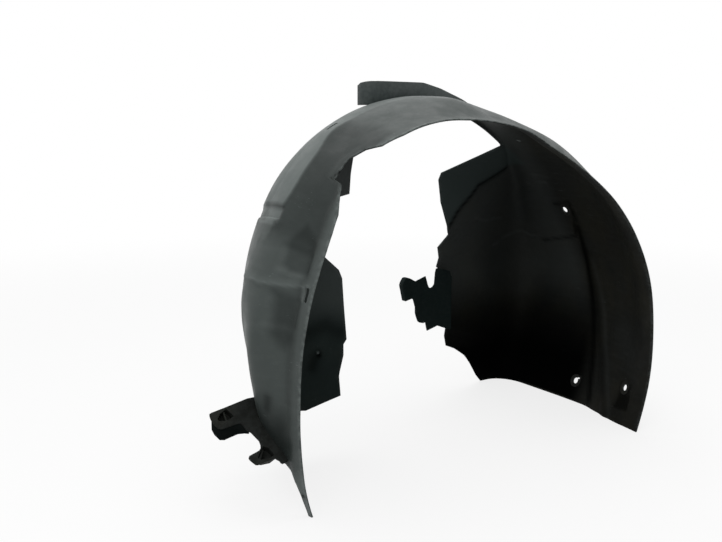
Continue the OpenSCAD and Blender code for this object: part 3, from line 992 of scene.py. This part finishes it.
def pad_rule() -> Rule:
    """The tree that sets one rounded ring on each fixing's point, square to the sheet."""
    rule = Rule("pads_on_fixings")
    across, hole, thick, edge = rule.sizes("Pad diameter", "Hole diameter", "Pad thickness", "Pad edge")
    skin, = rule.sizes("Finish", kind="NodeSocketMaterial")
    width = rule.product(rule.maths("SUBTRACT", across, hole), 0.5)
    middle = rule.product(rule.maths("ADD", across, hole), 0.25)
    path = rule.add("GeometryNodeCurvePrimitiveCircle", None, {"Resolution": 48, "Radius": middle})
    profile = rule.add("GeometryNodeCurvePrimitiveQuadrilateral", None, {"Width": width, "Height": thick})
    rounded = rule.add("GeometryNodeFilletCurve", {"mode": "POLY"},
                       {"Curve": profile.outputs[0], "Count": 3, "Radius": edge})
    ring = rule.add("GeometryNodeCurveToMesh", None, {
        "Curve": path.outputs[0], "Profile Curve": rounded.outputs[0]})
    way = rule.held("way", "FLOAT_VECTOR")
    turn = rule.add("FunctionNodeAlignRotationToVector", {"axis": "Z"}, {"Vector": way})
    rings = rule.add("GeometryNodeInstanceOnPoints", None, {
        "Points": rule.start.outputs[0], "Instance": ring.outputs[0], "Rotation": turn.outputs[0]})
    rule.finish(rings.outputs[0], [{"Material": skin}])
    return rule


def strip_rule() -> Rule:
    """The tree that raises a strip from a path, to each point's own height."""
    rule = Rule("strip_along_a_path")
    share, = rule.sizes("Height share")
    skin, = rule.sizes("Finish", kind="NodeSocketMaterial")
    up = rule.add("ShaderNodeCombineXYZ", None, {2: rule.product(rule.held("rise", "FLOAT"), share)})
    raised = rule.add("GeometryNodeExtrudeMesh", {"mode": "EDGES"}, {
        "Mesh": rule.start.outputs[0], "Offset": up.outputs[0], "Offset Scale": 1.0})
    rule.finish(raised.outputs[0], [{"Material": skin}])
    return rule


@dataclass
class Seat:
    """A place on the tub's outer face."""

    form: ArchForm
    angle: float
    depth: float

    def place(self) -> Matrix:
        """Its frame: Z out of the sheet, X along the arch and Y across it."""
        a, y = self.angle, self.depth
        foot = self.form.at(a, y)[0]
        near = self.form.radius(a, np.array([y - 5, y + 5]))
        tilt = math.degrees(math.atan2(near[1] - near[0], 10))
        return Matrix.Translation(Vector(foot)) @ turned(-a, "Y") @ turned(-tilt, "Z") @ turned(90, "Y")


def turned(angle: float, axis: str) -> Matrix:
    """A turn about an axis, in degrees."""
    return Matrix.Rotation(math.radians(angle), 4, axis)


def rod(diameter: float, low: float, high: float, place: Matrix, sides: int = 40) -> Object:
    """A round cutter."""
    ring = [(diameter / 2 * math.cos(t), diameter / 2 * math.sin(t))
            for t in np.linspace(0, 2 * math.pi, sides, endpoint=False)]
    return prism("cutter", ring, low, high, place)


def bar(length: float, width: float, turn: float, place: Matrix, reach: float = 8.0) -> Object:
    """A cutter with rounded corners for a clip slot."""
    r = 0.32 * width
    outline = [(sx * (length / 2 - r) + r * math.cos(t), sy * (width / 2 - r) + r * math.sin(t))
               for sx, sy, t0 in ((1, 1, 0), (-1, 1, 90), (-1, -1, 180), (1, -1, 270))
               for t in np.radians([t0, t0 + 30, t0 + 60, t0 + 90])]
    return prism("cutter", outline, -reach, reach, place @ turned(turn, "Z"))


@dataclass(frozen=True)
class PaintedLightAndWear:
    """How strongly each wide field of the sheet takes painted light or painted shade, how far the worn edges
    reach, and how strong the front wall's painted sheen is.
    """

    crest: float = 0.42
    lip: float = 0.12
    tail: float = 0.5
    leg: float = 0.10
    rear_wall: float = 0.34
    rear_top: float = 0.06
    flank: float = 0.42
    foot: float = 0.6
    top_edge: float = 0.1
    rear_low: float = 0.96
    corner: float = 0.35
    front_foot: float = 0.42
    low_rim: float = 0.4
    edge_mm: float = 7.0
    front_painted_sheen: float = 0.5


@dataclass
class Tub:
    """The arched tub with its side walls and its tail, as one closed sheet."""

    form: ArchForm
    grid: SheetGrid
    outer: Material
    inner: Material
    rim_round: float = 0.8
    unevenness: float = 1.0
    wave: float = 140.0
    fix_d: float = 12.0
    pin_d: float = 4.5
    slot_l: float = 20.0
    slot_w: float = 7.0
    fixings: Table = ((-20.6, 60), (-22.9, 200), (27.4, 221))
    # Clip slots: angle, depth, turn and share of the full size
    slots: Table = ((122, 145, 0, 1), (160.5, 13, 0, 1), (55, 216, 130, 0.55))
    tail_pin: tuple[float, float] = (205.4, 6)
    # Blind dimple in the front wall: x, z and the depth of its end
    dimple: Point = (-205, -22, 205.6)
    # Torn bite beside the rear leg's inner hole
    tear: Table = (
        (-2, -3), (-6, -9.5), (-8.2, -8.6), (-7.2, -6), (-10.5, -5), (-7, -2.5), (-4, 1), (0, 0))
    marks: Sequence[Mark] = ()
    painted_light_and_wear: PaintedLightAndWear = PaintedLightAndWear()
    # How far the cutters reach to each side of the sheet
    fix_reach: float = 12.0
    pin_reach: float = 8.0
    tear_reach: float = 6.0
    dimple_reach: float = 20.0
    rims: Array = field(init=False)

    def build(self) -> Object:
        """Builds the tub's plain mesh."""
        skin, quads = self._outer_face()
        points, faces, inside = self._thicken(skin, quads)
        obj = make_object("tub_sheet", self._unrolled(points), faces)
        set_values(obj, "inside", inside, "BOOLEAN", "FACE")
        wrap_rule().run(obj, {
            "Axle forward": AXIS_AT[0] * MM, "Axle inboard": AXIS_AT[1] * MM, "Axle height": AXIS_AT[2] * MM,
            "Unevenness": self.unevenness * MM, "Unevenness width": self.wave * MM,
            "Outer finish": self.outer, "Inner finish": self.inner})
        outward(obj)
        combine(obj, [self._cutters()], Join.CUT)
        self._dress(obj)
        return obj

    def _outer_face(self) -> tuple[Array, list]:
        """Points and four-sided faces of the outer face, with the tail's after the rest."""
        stations = self.grid.stations()
        full = np.array([self.grid.section(a) for a in stations])
        n, m = full.shape[:2]
        k = self.grid.lip + self.grid.tail_flank
        y = full[-1, :k + 1, 1]
        f = self.form
        tail_at = [*np.arange(f.front_wall_end + 0.35, f.tail_end, self.grid.fine_pitch), f.tail_end]
        tail = np.array([self.grid.tail(a, y) for a in tail_at])
        points = np.concatenate([full.reshape(-1, 3), tail.reshape(-1, 3)])
        quads = [(i * m + j, (i + 1) * m + j, (i + 1) * m + j + 1, i * m + j + 1)
                 for i in range(n - 1) for j in range(m - 1)]
        rows = [[(n - 1) * m + j for j in range(k + 1)]]
        rows += [[n * m + i * (k + 1) + j for j in range(k + 1)] for i in range(len(tail_at))]
        quads += [(p[j], q[j], q[j + 1], p[j + 1]) for p, q in zip(rows, rows[1:]) for j in range(k)]
        return points, quads

    def _thicken(self, skin: Array, quads: list) -> tuple[Array, list, list]:
        """Gives the face its thickness and a rounded rim.

        Args:
            skin: The outer face's points.
            quads: Its faces.

        Returns:
            All points, all faces and which faces look inwards.
        """
        q = np.array(quads)
        normal = np.cross(skin[q[:, 2]] - skin[q[:, 0]], skin[q[:, 3]] - skin[q[:, 1]])
        middle = skin[q].mean(1)
        radial = middle * np.array([1, 0, 1])
        if (normal * radial).sum() < 0:
            normal = -normal
            q = q[:, ::-1]
        way = np.zeros_like(skin)
        near = np.zeros_like(skin)
        count = np.zeros(len(skin))
        for c in range(4):
            np.add.at(way, q[:, c], normal)
            np.add.at(near, q[:, c], middle)
            np.add.at(count, q[:, c], 1)
        way = unit(way)
        out = skin - near / np.maximum(count, 1)[:, None]
        out -= way * (out * way).sum(1, keepdims=True)
        reach = np.minimum(self.rim_round, 0.6 * np.linalg.norm(out, axis=1))
        out = unit(out) * reach[:, None]
        edges = dict.fromkeys((int(p), int(r)) for c in range(4) for p, r in zip(q[:, c], q[:, (c + 1) % 4]))
        rim = [e for e in edges if (e[1], e[0]) not in edges]
        ends = sorted({p for e in rim for p in e})
        number = {p: i for i, p in enumerate(ends)}
        total = len(skin)
        t = self.form.sheet_t
        middle_rim = skin[ends] - way[ends] * t / 2
        face = skin.copy()
        face[ends] -= out[ends]
        points = np.concatenate([face, face - way * t, middle_rim])
        self.rims = middle_rim
        faces = [list(f) for f in q] + [[p + total for p in f[::-1]] for f in q.tolist()]
        inside = [False] * len(q) + [True] * len(q)
        for p, r in rim:
            a, b = 2 * total + number[p], 2 * total + number[r]
            faces += [[r, p, a, b], [b, a, p + total, r + total]]
            inside += [False, True]
        return points, faces, inside

    def _unrolled(self, p: Array) -> Array:
        """Points as angle, depth and distance from the axis, the lengths in metres."""
        return np.stack([np.radians(angles(p)), p[:, 1] * MM, np.hypot(p[:, 0], p[:, 2]) * MM], -1)

    def bite(self) -> Object:
        """The cutter of the torn bite, which the pad shares."""
        place = Seat(self.form, *self.fixings[1]).place()
        return prism("cutter", self.tear, -self.tear_reach, self.tear_reach, place)

    def _cutters(self) -> Object:
        """Everything that is cut out of the sheet, as one object."""
        f = self.form
        made = [rod(self.fix_d, -self.fix_reach, self.fix_reach, Seat(f, *at).place()) for at in self.fixings]
        made += [rod(self.pin_d, -self.pin_reach, self.pin_reach, Seat(f, *self.tail_pin).place(), 24)]
        wall = Matrix.Translation((self.dimple[0], self.dimple[2], self.dimple[1]))
        made += [rod(self.pin_d, 0, self.dimple_reach, wall @ turned(90, "X"), 24)]
        made += [bar(self.slot_l * share, self.slot_w * share, turn, Seat(f, a, y).place())
                 for a, y, turn, share in self.slots]
        made += [self.bite()]
        wide = 700
        square = ((-wide, -wide), (wide, -wide), (wide, wide), (-wide, wide))
        made += [prism("cutter", square, -wide, -AXIS_AT[2], Matrix())]
        whole = made[0]
        combine(whole, made[1:], Join.ADD)
        whole.data.materials.append(self.inner)
        return whole

    def _dress(self, obj: Object) -> None:
        """Shades the tub smooth and stores what its finishes read: worn edges, the painted sheen, painted
        light and painted shade.
        """
        smooth(obj, 30)
        p = mesh_points(obj)
        a = angles(p)
        set_values(obj, "edge", self._nearness(p))
        set_values(obj, "painted_sheen", self._painted_sheen(a, p))
        light, painted_shade = self._shades(obj, a, p)
        set_values(obj, "light", light)
        set_values(obj, "painted_shade", painted_shade)

    def _nearness(self, p: Array) -> Array:
        """1 at the sheet's rims, falling to 0 a few millimetres in."""
        tree = KDTree(len(self.rims))
        for i, rim in enumerate(self.rims):
            tree.insert(rim, i)
        tree.balance()
        gap = np.array([tree.find(q)[2] for q in p])
        return np.clip(1 - gap / self.painted_light_and_wear.edge_mm, 0, 1)

    def _painted_sheen(self, a: Array, p: Array) -> Array:
        """Painted sheen: the rear wall's upper flap and the front wall made bluish and paler where they catch
        the light.
        """
        f = self.form
        above = ramp(-path_side(f.flap_path, p[:, 0], p[:, 2]), -3, 3)
        flap = above * (a < REAR_BELOW) * ramp(p[:, 1], 252, 272)
        return flap + self.painted_light_and_wear.front_painted_sheen * window(a, 128, 230, 4) * (p[:, 1] > f.front_depth - 12)

    def _shades(self, obj: Object, a: Array, p: Array) -> tuple[Array, Array]:
        """Where painted light and painted shade lie on the sheet.

        Args:
            obj: The tub.
            a: Its points' angles.
            p: Its points in mm.

        Returns:
            A share for each point of painted light and of painted shade.
        """
        outer = np.zeros(len(p), bool)
        for face in obj.data.polygons:
            if face.material_index == Skin.OUTER.value:
                outer[list(face.vertices)] = True
        light, painted_shade = self._fields(a, p, outer)
        # Each mark adds painted light (above 0) or painted shade (below 0)
        for mark in self.marks:
            share = mark.strength(a, p) * (outer == (mark.skin is Skin.OUTER)) * abs(mark.amount)
            if mark.amount > 0:
                light = light + share * (1 - light)
            else:
                painted_shade = painted_shade + share * (1 - painted_shade)
        return light, painted_shade

    def _fields(self, a: Array, p: Array, outer: Array) -> tuple[Array, Array]:
        """Wide soft fields of painted light and painted shade: paler on the crest, the lip, the tail and the
        rear wall's upper part, darker on the flanks, feet and corners, and the deep painted shade low in the
        rear leg.

        Args:
            a: The points' angles.
            p: The points in mm.
            outer: Which points lie on the outer face.

        Returns:
            A share for each point of painted light and of painted shade.
        """
        f, t = self.form, self.painted_light_and_wear
        y, z = p[:, 1], p[:, 2]
        rear = a < REAR_BELOW
        fold = curve(f.crease_line, a)
        crest = ramp(y, fold - 3, fold + 3) * ramp(a, 90, 126) * (1 - ramp(a, 139.4, 149.4))
        lip = (1 - ramp(y, 12, 16)) * window(a, 138, 199, 5)
        top_edge = window(a, 62, 112, 8) * (1 - ramp(y, 50, 100))
        corner = bell(y, f.depth(a) - 20, 20) * ramp(p[:, 0], 200, 300) * rear
        tail = ramp(a, 198, 204) * (a < 230)
        leg = window(a, 146, 188, 6)
        flank = window(a, 122, 148, 6) * ramp(y, 12, 24) * (1 - ramp(y, fold - 6, fold))
        on_leg = ramp(np.hypot(p[:, 0], z), LEG_FROM, LEG_FROM + 30)
        foot = window(a, 192, 198, 9) * ramp(y, 2, 40) * on_leg
        low = (1 - ramp(z, -130, 80)) * ramp(y, 150, 205) * rear
        rim_low = (1 - ramp(a, -30, -12)) * (1 - ramp(y, 60, 120))
        wheel_side = ramp(y, fold + 4, fold + 60) * rear
        front_foot = (1 - ramp(z, -80, 110)) * (a > REAR_BELOW)
        high = ramp(a, 24, 40) * rear
        # Painted light
        light = np.where(
            outer, t.crest * crest + t.lip * lip + t.tail * tail + t.leg * leg * ramp(y, 14, 40),
            t.rear_wall * wheel_side * ramp(z, -60, 60) + t.rear_top * high)
        # Painted shade
        painted_shade = np.where(
            outer, t.flank * flank + t.foot * foot + t.top_edge * top_edge,
            np.maximum(t.rear_low * low, t.corner * corner) + t.front_foot * front_foot + t.low_rim * rim_low)
        return light, painted_shade


@dataclass
class Pads:
    """Rounded pads round the three main fixing holes."""

    tub: Tub
    finish: Material
    pad_d: float = 26.0
    pad_t: float = 3.5
    pad_edge: float = 0.9

    def build(self) -> Object:
        """Builds the pads."""
        places = [Seat(self.tub.form, *at).place() for at in self.tub.fixings]
        middle = Vector((0, 0, -self.tub.form.sheet_t / 2))
        points = in_frame(np.array([tuple(m @ middle) for m in places]))
        obj = make_object("fixing_pads", points, [])
        set_values(obj, "way", [m.to_3x3() @ Vector((0, 0, 1)) for m in places], "FLOAT_VECTOR")
        pad_rule().run(obj, {
            "Pad diameter": self.pad_d * MM, "Hole diameter": self.tub.fix_d * MM,
            "Pad thickness": self.pad_t * MM, "Pad edge": self.pad_edge * MM, "Finish": self.finish})
        outward(obj)
        combine(obj, [self.tub.bite()], Join.CUT)
        dress_small(obj, self.finish, 0.0)
        return obj


@dataclass
class TopFlap:
    """The upright flap along the top's inner edge, with its front end turned back."""

    form: ArchForm
    finish: Material
    flap_h: float = 410.0
    turned_back: float = 22.0
    # From the tub's corner to the flap's foot
    seat: Point = (0, 1, -3)
    start: float = 60.75
    end: float = 104.3
    pitch: float = 0.9
    # Top of the flap: x and its height over flap_h
    top_line: Table = (
        (-114, -16), (-111, -4), (-108, -1.5), (-103, -0.5), (-95, 0), (11, 0), (29, -4), (53, -9),
        (75, -16), (105, -25), (140, -39), (175, -58), (200, -76))
    # Turned-back end: x, share of the turn and x on the top line
    turn_line: Table = (
        (-4, 0.02, -4), (-8, 0.1, -8), (-11, 0.22, -11), (-13, 0.38, -13), (-14, 0.6, -14),
        (-14, 0.8, -15), (-14, 1, -17))

    def build(self) -> Object:
        """Builds the flap."""
        f = self.form
        feet = [f.at(a, float(f.depth(a)))[0] + np.array(self.seat)
                for a in (*np.arange(self.start, self.end, self.pitch), self.end)]
        tops = [self._top(b[0]) for b in feet]
        last = feet[-1]
        for dx, share, x in self.turn_line:
            feet.append(last + np.array([dx, share * self.turned_back, 0]))
            tops.append(self._top(last[0] + x))
        points = np.array(feet)
        n = len(points)
        obj = make_object("top_flap", in_frame(points), [])
        obj.data.edges.add(n - 1)
        obj.data.edges.foreach_set("vertices", [v for i in range(n - 1) for v in (i, i + 1)])
        set_values(obj, "rise", (np.array(tops) - points[:, 2]) * MM)
        strip_rule().run(obj, {"Height share": 1.0, "Finish": self.finish})
        wall = obj.modifiers.new("thickness", "SOLIDIFY")
        wall.thickness = f.sheet_t * MM
        wall.offset = -1.0 if obj.data.polygons[0].normal.y > 0 else 1.0
        wall.use_even_offset = True
        settle(obj)
        outward(obj)
        round_edges(obj, 0.7, 2, 50)
        # Half the painted sheen on the flap
        dress_small(obj, self.finish, 0.5)
        return obj

    def _top(self, x: float) -> float:
        """Height of the flap's top at an x."""
        return self.flap_h + float(line(self.top_line, x))


@dataclass
class FrontBracket:
    """A plate folded out of the front leg, with two pockets below it and a skirt."""

    form: ArchForm
    finish: Material
    corner: Point = (-365.0, 110.0, -44.0)
    pitch: float = 44.0
    roll: float = -14.0
    pocket_h: float = 12.0
    skirt_h: float = 18.0
    outline: Table = (
        (-10, 1), (-44, 2), (-66, 3), (-69, 2.4), (-70, 0), (-71, -6), (-70.4, -14), (-68, -22),
        (-65.5, -25), (-62, -26), (-47, -27), (-40, -28), (-36.5, -30), (-35, -34), (-34, -42), (-30, -48),
        (-26, -64), (-27, -70), (-29, -74.5), (-33, -77), (-49, -78), (-51, -80), (-51, -83), (-50, -86),
        (-47, -93), (-44.5, -94.6), (-40, -95), (-17, -97), (-15.5, -99.5), (-14.6, -106.5),
        (-13.2, -108.6), (-3, -108))
    pockets: Sequence[Table] = (
        ((-62.5, -9.4), (-56, -4), (-48.5, -1.7), (-44, -1), (-40, -15.5), (-47, -17), (-53.5, -17.3),
        (-62, -13)), ((-40, -86), (-34, -80.5), (-25, -74), (-19.5, -79), (-17, -92), (-24, -93.5),
        (-36, -90.5)))
    # Webs that stand in the pockets
    webs: Sequence[Table] = (
        ((-53.5, -18), (-51, -18), (-48, -2), (-50.5, -2.5)), ((-39, -87.5), (-37, -89.5), (-26, -78),
        (-28, -76.5)))
    # Skirt: place in the plate, share of its depth and inward way
    skirt: Sequence = (
        (-69, -3, 1, (0.9, 0.3, 0)), (-69, -12, 1, (0.9, 0.3, 0)), (-66, -22, 1, (0.7, 0.7, 0)),
        (-60, -25, 1, (0.1, 1, 0)), (-46, -26, 0.95, (0.1, 1, 0)), (-40, -27, 0.9, (0.5, 0.8, 0)),
        (-34, -35, 0.6, (0.9, 0.4, 0)), (-32, -44, 0.25, (0.9, 0.4, 0)))

    def place(self) -> Matrix:
        """The plate's frame."""
        return Matrix.Translation(self.corner) @ turned(self.roll, "Y") @ turned(self.pitch, "X")

    def joint(self, v: float) -> float:
        """Where the plate meets the middle of the leg's sheet."""
        u = 0.0
        for _ in range(6):
            p = self.place() @ Vector((u, v, 0))
            a = math.degrees(math.atan2(p.z, p.x)) % 360
            surface = float(self.form.radius(a, np.array([p.y]))[0])
            u += math.hypot(p.x, p.z) - surface + 0.6 * self.form.sheet_t
        return u

    def build(self) -> list[Object]:
        """Builds the plate with its pockets, and the skirt."""
        place = self.place()
        joint = [(self.joint(v), v) for v in range(-98, 0, 6)]
        plate = prism("front_bracket", list(self.outline) + joint, 0, self.form.sheet_t, place)
        cups = [prism("cup", grown(p, 2.0), -self.pocket_h, 1.2, place) for p in self.pockets]
        combine(plate, cups, Join.ADD)
        combine(plate, [prism("hollow", p, -self.pocket_h + 2, 6, place) for p in self.pockets], Join.CUT)
        webs = [prism("web", p, -self.pocket_h + 1, 0.4, place) for p in self.webs]
        combine(plate, webs, Join.ADD)
        round_edges(plate, 0.6)
        skirt = self._skirt(place)
        # Painted sheen and painted shade on the plate, and darker painted shade on the skirt
        dress_small(plate, self.finish, 0.05, 0.32)
        dress_small(skirt, self.finish, 0.4, 0.8)
        return [plate, skirt]

    def _skirt(self, place: Matrix) -> Object:
        """The skirt below the plate's outer edge."""
        rows = []
        for u, v, share, way in self.skirt:
            top = place @ Vector((u, v, 1))
            down = Vector((0, 0, -share * self.skirt_h))
            side = 2 * Vector(way)
            rows.append([tuple(p) for p in (top, top + down, top + down + side, top + side)])
        points = np.array(rows).reshape(-1, 3)
        n = len(rows)
        faces = [[i * 4 + j, i * 4 + (j + 1) % 4, (i + 1) * 4 + (j + 1) % 4, (i + 1) * 4 + j]
                 for i in range(n - 1) for j in range(4)]
        faces += [[3, 2, 1, 0], [n * 4 - 4, n * 4 - 3, n * 4 - 2, n * 4 - 1]]
        obj = make_object("front_skirt", in_frame(points), faces)
        outward(obj)
        round_edges(obj, 0.5)
        return obj


def grown(outline: Table, by: float) -> Table:
    """A convex outline with its sides moved outwards."""
    p = np.array(outline, float)
    centre = p.mean(0)
    lines = []
    for a, b in zip(p, np.roll(p, -1, 0)):
        out = unit(np.array([b[1] - a[1], a[0] - b[0]]))
        if out @ (a - centre) < 0:
            out = -out
        lines.append((out, out @ a + by))
    return [tuple(np.linalg.solve([lines[i - 1][0], lines[i][0]], [lines[i - 1][1], lines[i][1]]))
            for i in range(len(p))]


def dress_small(obj: Object, finish: Material, painted_sheen: float, painted_shade: float = 0.0) -> None:
    """Gives a small piece its finish and its even values: worn edges, a painted sheen, no painted light, and
    painted shade.
    """
    obj.data.materials.clear()
    obj.data.materials.append(finish)
    smooth(obj, 38)
    n = len(obj.data.vertices)
    for name, value in (("edge", 0.15), ("painted_sheen", painted_sheen), ("light", 0.0), ("painted_shade", painted_shade)):
        set_values(obj, name, np.full(n, value))


@dataclass
class RearBracket:
    """A plate set forward of the rear side wall, with a hook at its end."""

    form: ArchForm
    finish: Material
    # Where the wall's outline is level with the bracket
    wall_angle: float = 16.0
    rear_step: float = 16.0
    hook_h: float = 12.0
    hook_back: float = 6.0
    plate: Table = (
        (119, 40), (121, 62), (123, 69), (127, 70), (156, 62), (158, 50), (158, -54), (127, -42),
        (103, -49), (99, -32), (93, -33), (85, -31), (81, -28), (77, -18), (75, -11), (74, 49), (98, 57),
        (101, 48), (103, 41), (106, 35), (110, 33), (115, 35))
    hook: Table = (
        (82, 46), (72, 50), (57, 58), (52, 59), (48, 58), (43, 51), (41, 45), (48, 15), (60, 18),
        (64, 18.5), (66, 16), (74, -10), (82, -8))
    fold: Table = ((77, 46), (80, 46), (80, -8), (77, -8))
    rim: Table = (
        (57, 58), (52, 59), (48, 58), (43, 51), (41, 45), (48, 15), (50.5, 16), (43.7, 44.6), (45.4, 50),
        (49.5, 55.5), (52.5, 56.5), (56, 55.5))
    web: Table = ((155.5, 52), (160, 52), (160, -52), (155.5, -52))

    def leaf(self, y: float, outline: Table, t: float) -> Object:
        """A plate whose outline stands upright along the car."""
        place = Matrix.Translation((0, y + t, 0)) @ turned(90, "X")
        return prism("rear_bracket", outline, 0, t, place)

    def build(self) -> Object:
        """Builds the bracket."""
        t = self.form.sheet_t
        plate_y = corner_line(self.form.rear_line, self.wall_angle)[1] - self.rear_step
        hook_y = plate_y - self.hook_back
        whole = self.leaf(plate_y, self.plate, t)
        combine(whole, [self.leaf(plate_y, self.web, self.rear_step - t / 2), self.leaf(hook_y, self.hook, t),
                        self.leaf(hook_y, self.fold, plate_y - hook_y + t),
                        self.leaf(hook_y, self.rim, self.hook_h)], Join.ADD)
        round_edges(whole, 0.6)
        # Painted sheen and painted shade on the bracket
        dress_small(whole, self.finish, 0.9, 0.66)
        return whole


@dataclass
class Studio:
    """Pale floor, soft light and the camera at the photo's angle."""

    azimuth: float = 32.0
    pitch: float = 9.5
    lens: float = 44.88
    eye: Point = (-877.9, -1224.2, 540.4)
    floor_size: float = 30.0
    floor_white: str = "#f8f8f8"
    floor_as_light: str = "#9a9a9a"
    floor_glow: float = 0.8
    glow_near: float = 0.9
    glow_far: float = 3.0
    room_strength: float = 0.5

    def build(self) -> None:
        """Builds the studio."""
        self._floor()
        self._world()
        self._lamp("key", (-1.5, -1.5, 1.8), (0.0, 0.0, 0.35), 1.4, 14.0)
        self._lamp("top", (0.05, 0.2, 2.7), (0.0, 0.0, 0.4), 2.4, 34.0)
        camera = bpy.data.cameras.new("camera")
        camera.lens = self.lens
        camera.sensor_width = 36.0
        camera.clip_end = 100.0
        obj = add_object("camera", camera)
        obj.location = [v * MM for v in self.eye]
        obj.rotation_euler = (math.radians(90 - self.pitch), 0, math.radians(-self.azimuth))
        bpy.context.scene.camera = obj
        bpy.context.scene.view_settings.view_transform = "Standard"

    def _seen(self, nodes: Nodes) -> Socket:
        """1 for rays from the camera, mirrors and glass, else 0."""
        path = nodes.add("ShaderNodeLightPath").outputs
        first = nodes.maths("MAXIMUM", path["Is Camera Ray"], path["Is Glossy Ray"])
        return nodes.maths("MAXIMUM", first, path["Is Transmission Ray"])

    def _floor(self) -> None:
        """A wide pale floor that keeps the liner's shadow."""
        mat = bpy.data.materials.new("pale_floor")
        nodes = emptied(mat)
        seen = self._seen(nodes)
        tone = nodes.blend(seen, linear(self.floor_as_light), linear(self.floor_white))
        matt = nodes.add("ShaderNodeBsdfDiffuse", None, {"Color": tone})
        glow = nodes.add("ShaderNodeEmission", None, {"Color": WHITE, "Strength": 1.0})
        place = nodes.add("ShaderNodeTexCoord").outputs["Object"]
        away = nodes.add("ShaderNodeVectorMath", {"operation": "LENGTH"}, {0: place}).outputs["Value"]
        far = nodes.spread(away, self.glow_near, self.glow_far, (self.floor_glow, 1.0))
        both = nodes.either(nodes.product(seen, far), matt, glow)
        nodes.add("ShaderNodeOutputMaterial", None, {"Surface": both})
        s = self.floor_size / 2
        corners = np.array([(-s, -s, 0), (s, -s, 0), (s, s, 0), (-s, s, 0)])
        floor = make_object("floor", corners, [[0, 1, 2, 3]])
        floor.data.materials.append(mat)

    def _world(self) -> None:
        """An even pale room: white where it is seen, softer as a light."""
        world = bpy.data.worlds.new("room")
        bpy.context.scene.world = world
        nodes = emptied(world)
        light, white = (nodes.add("ShaderNodeBackground", None, {"Color": WHITE, "Strength": strength})
                        for strength in (self.room_strength, 1.0))
        nodes.add("ShaderNodeOutputWorld", None, {"Surface": nodes.either(self._seen(nodes), light, white)})

    def _lamp(self, name: str, place: Point, aim: Point, size: float, power: float) -> None:
        """A soft square lamp."""
        lamp = bpy.data.lights.new(name, "AREA")
        lamp.size = size
        lamp.energy = power
        obj = add_object(name, lamp)
        obj.location = place
        obj.rotation_euler = (Vector(aim) - Vector(place)).to_track_quat("-Z", "Y").to_euler()


def main() -> None:
    """Builds the pieces in order and reports each."""
    logging.basicConfig(level=logging.INFO, format="%(message)s")
    outer, inner = OUTER_SKIN.material(), INNER_SKIN.material()
    form = ArchForm()
    tub = Tub(form, SheetGrid(form), outer, inner, marks=MARKS)
    sheet = tub.build()
    # Pads and brackets take the inner face's darker colours, which are painted shade; the flap takes the
    # outer face's painted light
    pieces = [sheet, Pads(tub, inner).build(), TopFlap(form, outer).build()]
    pieces += FrontBracket(form, inner).build()
    pieces.append(RearBracket(form, inner).build())
    for piece in pieces:
        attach(piece, BODY)
        log.info("%s: %d faces", piece.name, len(piece.data.polygons))
    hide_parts("liner")
    Studio().build()


if __name__ == "__main__":
    main()
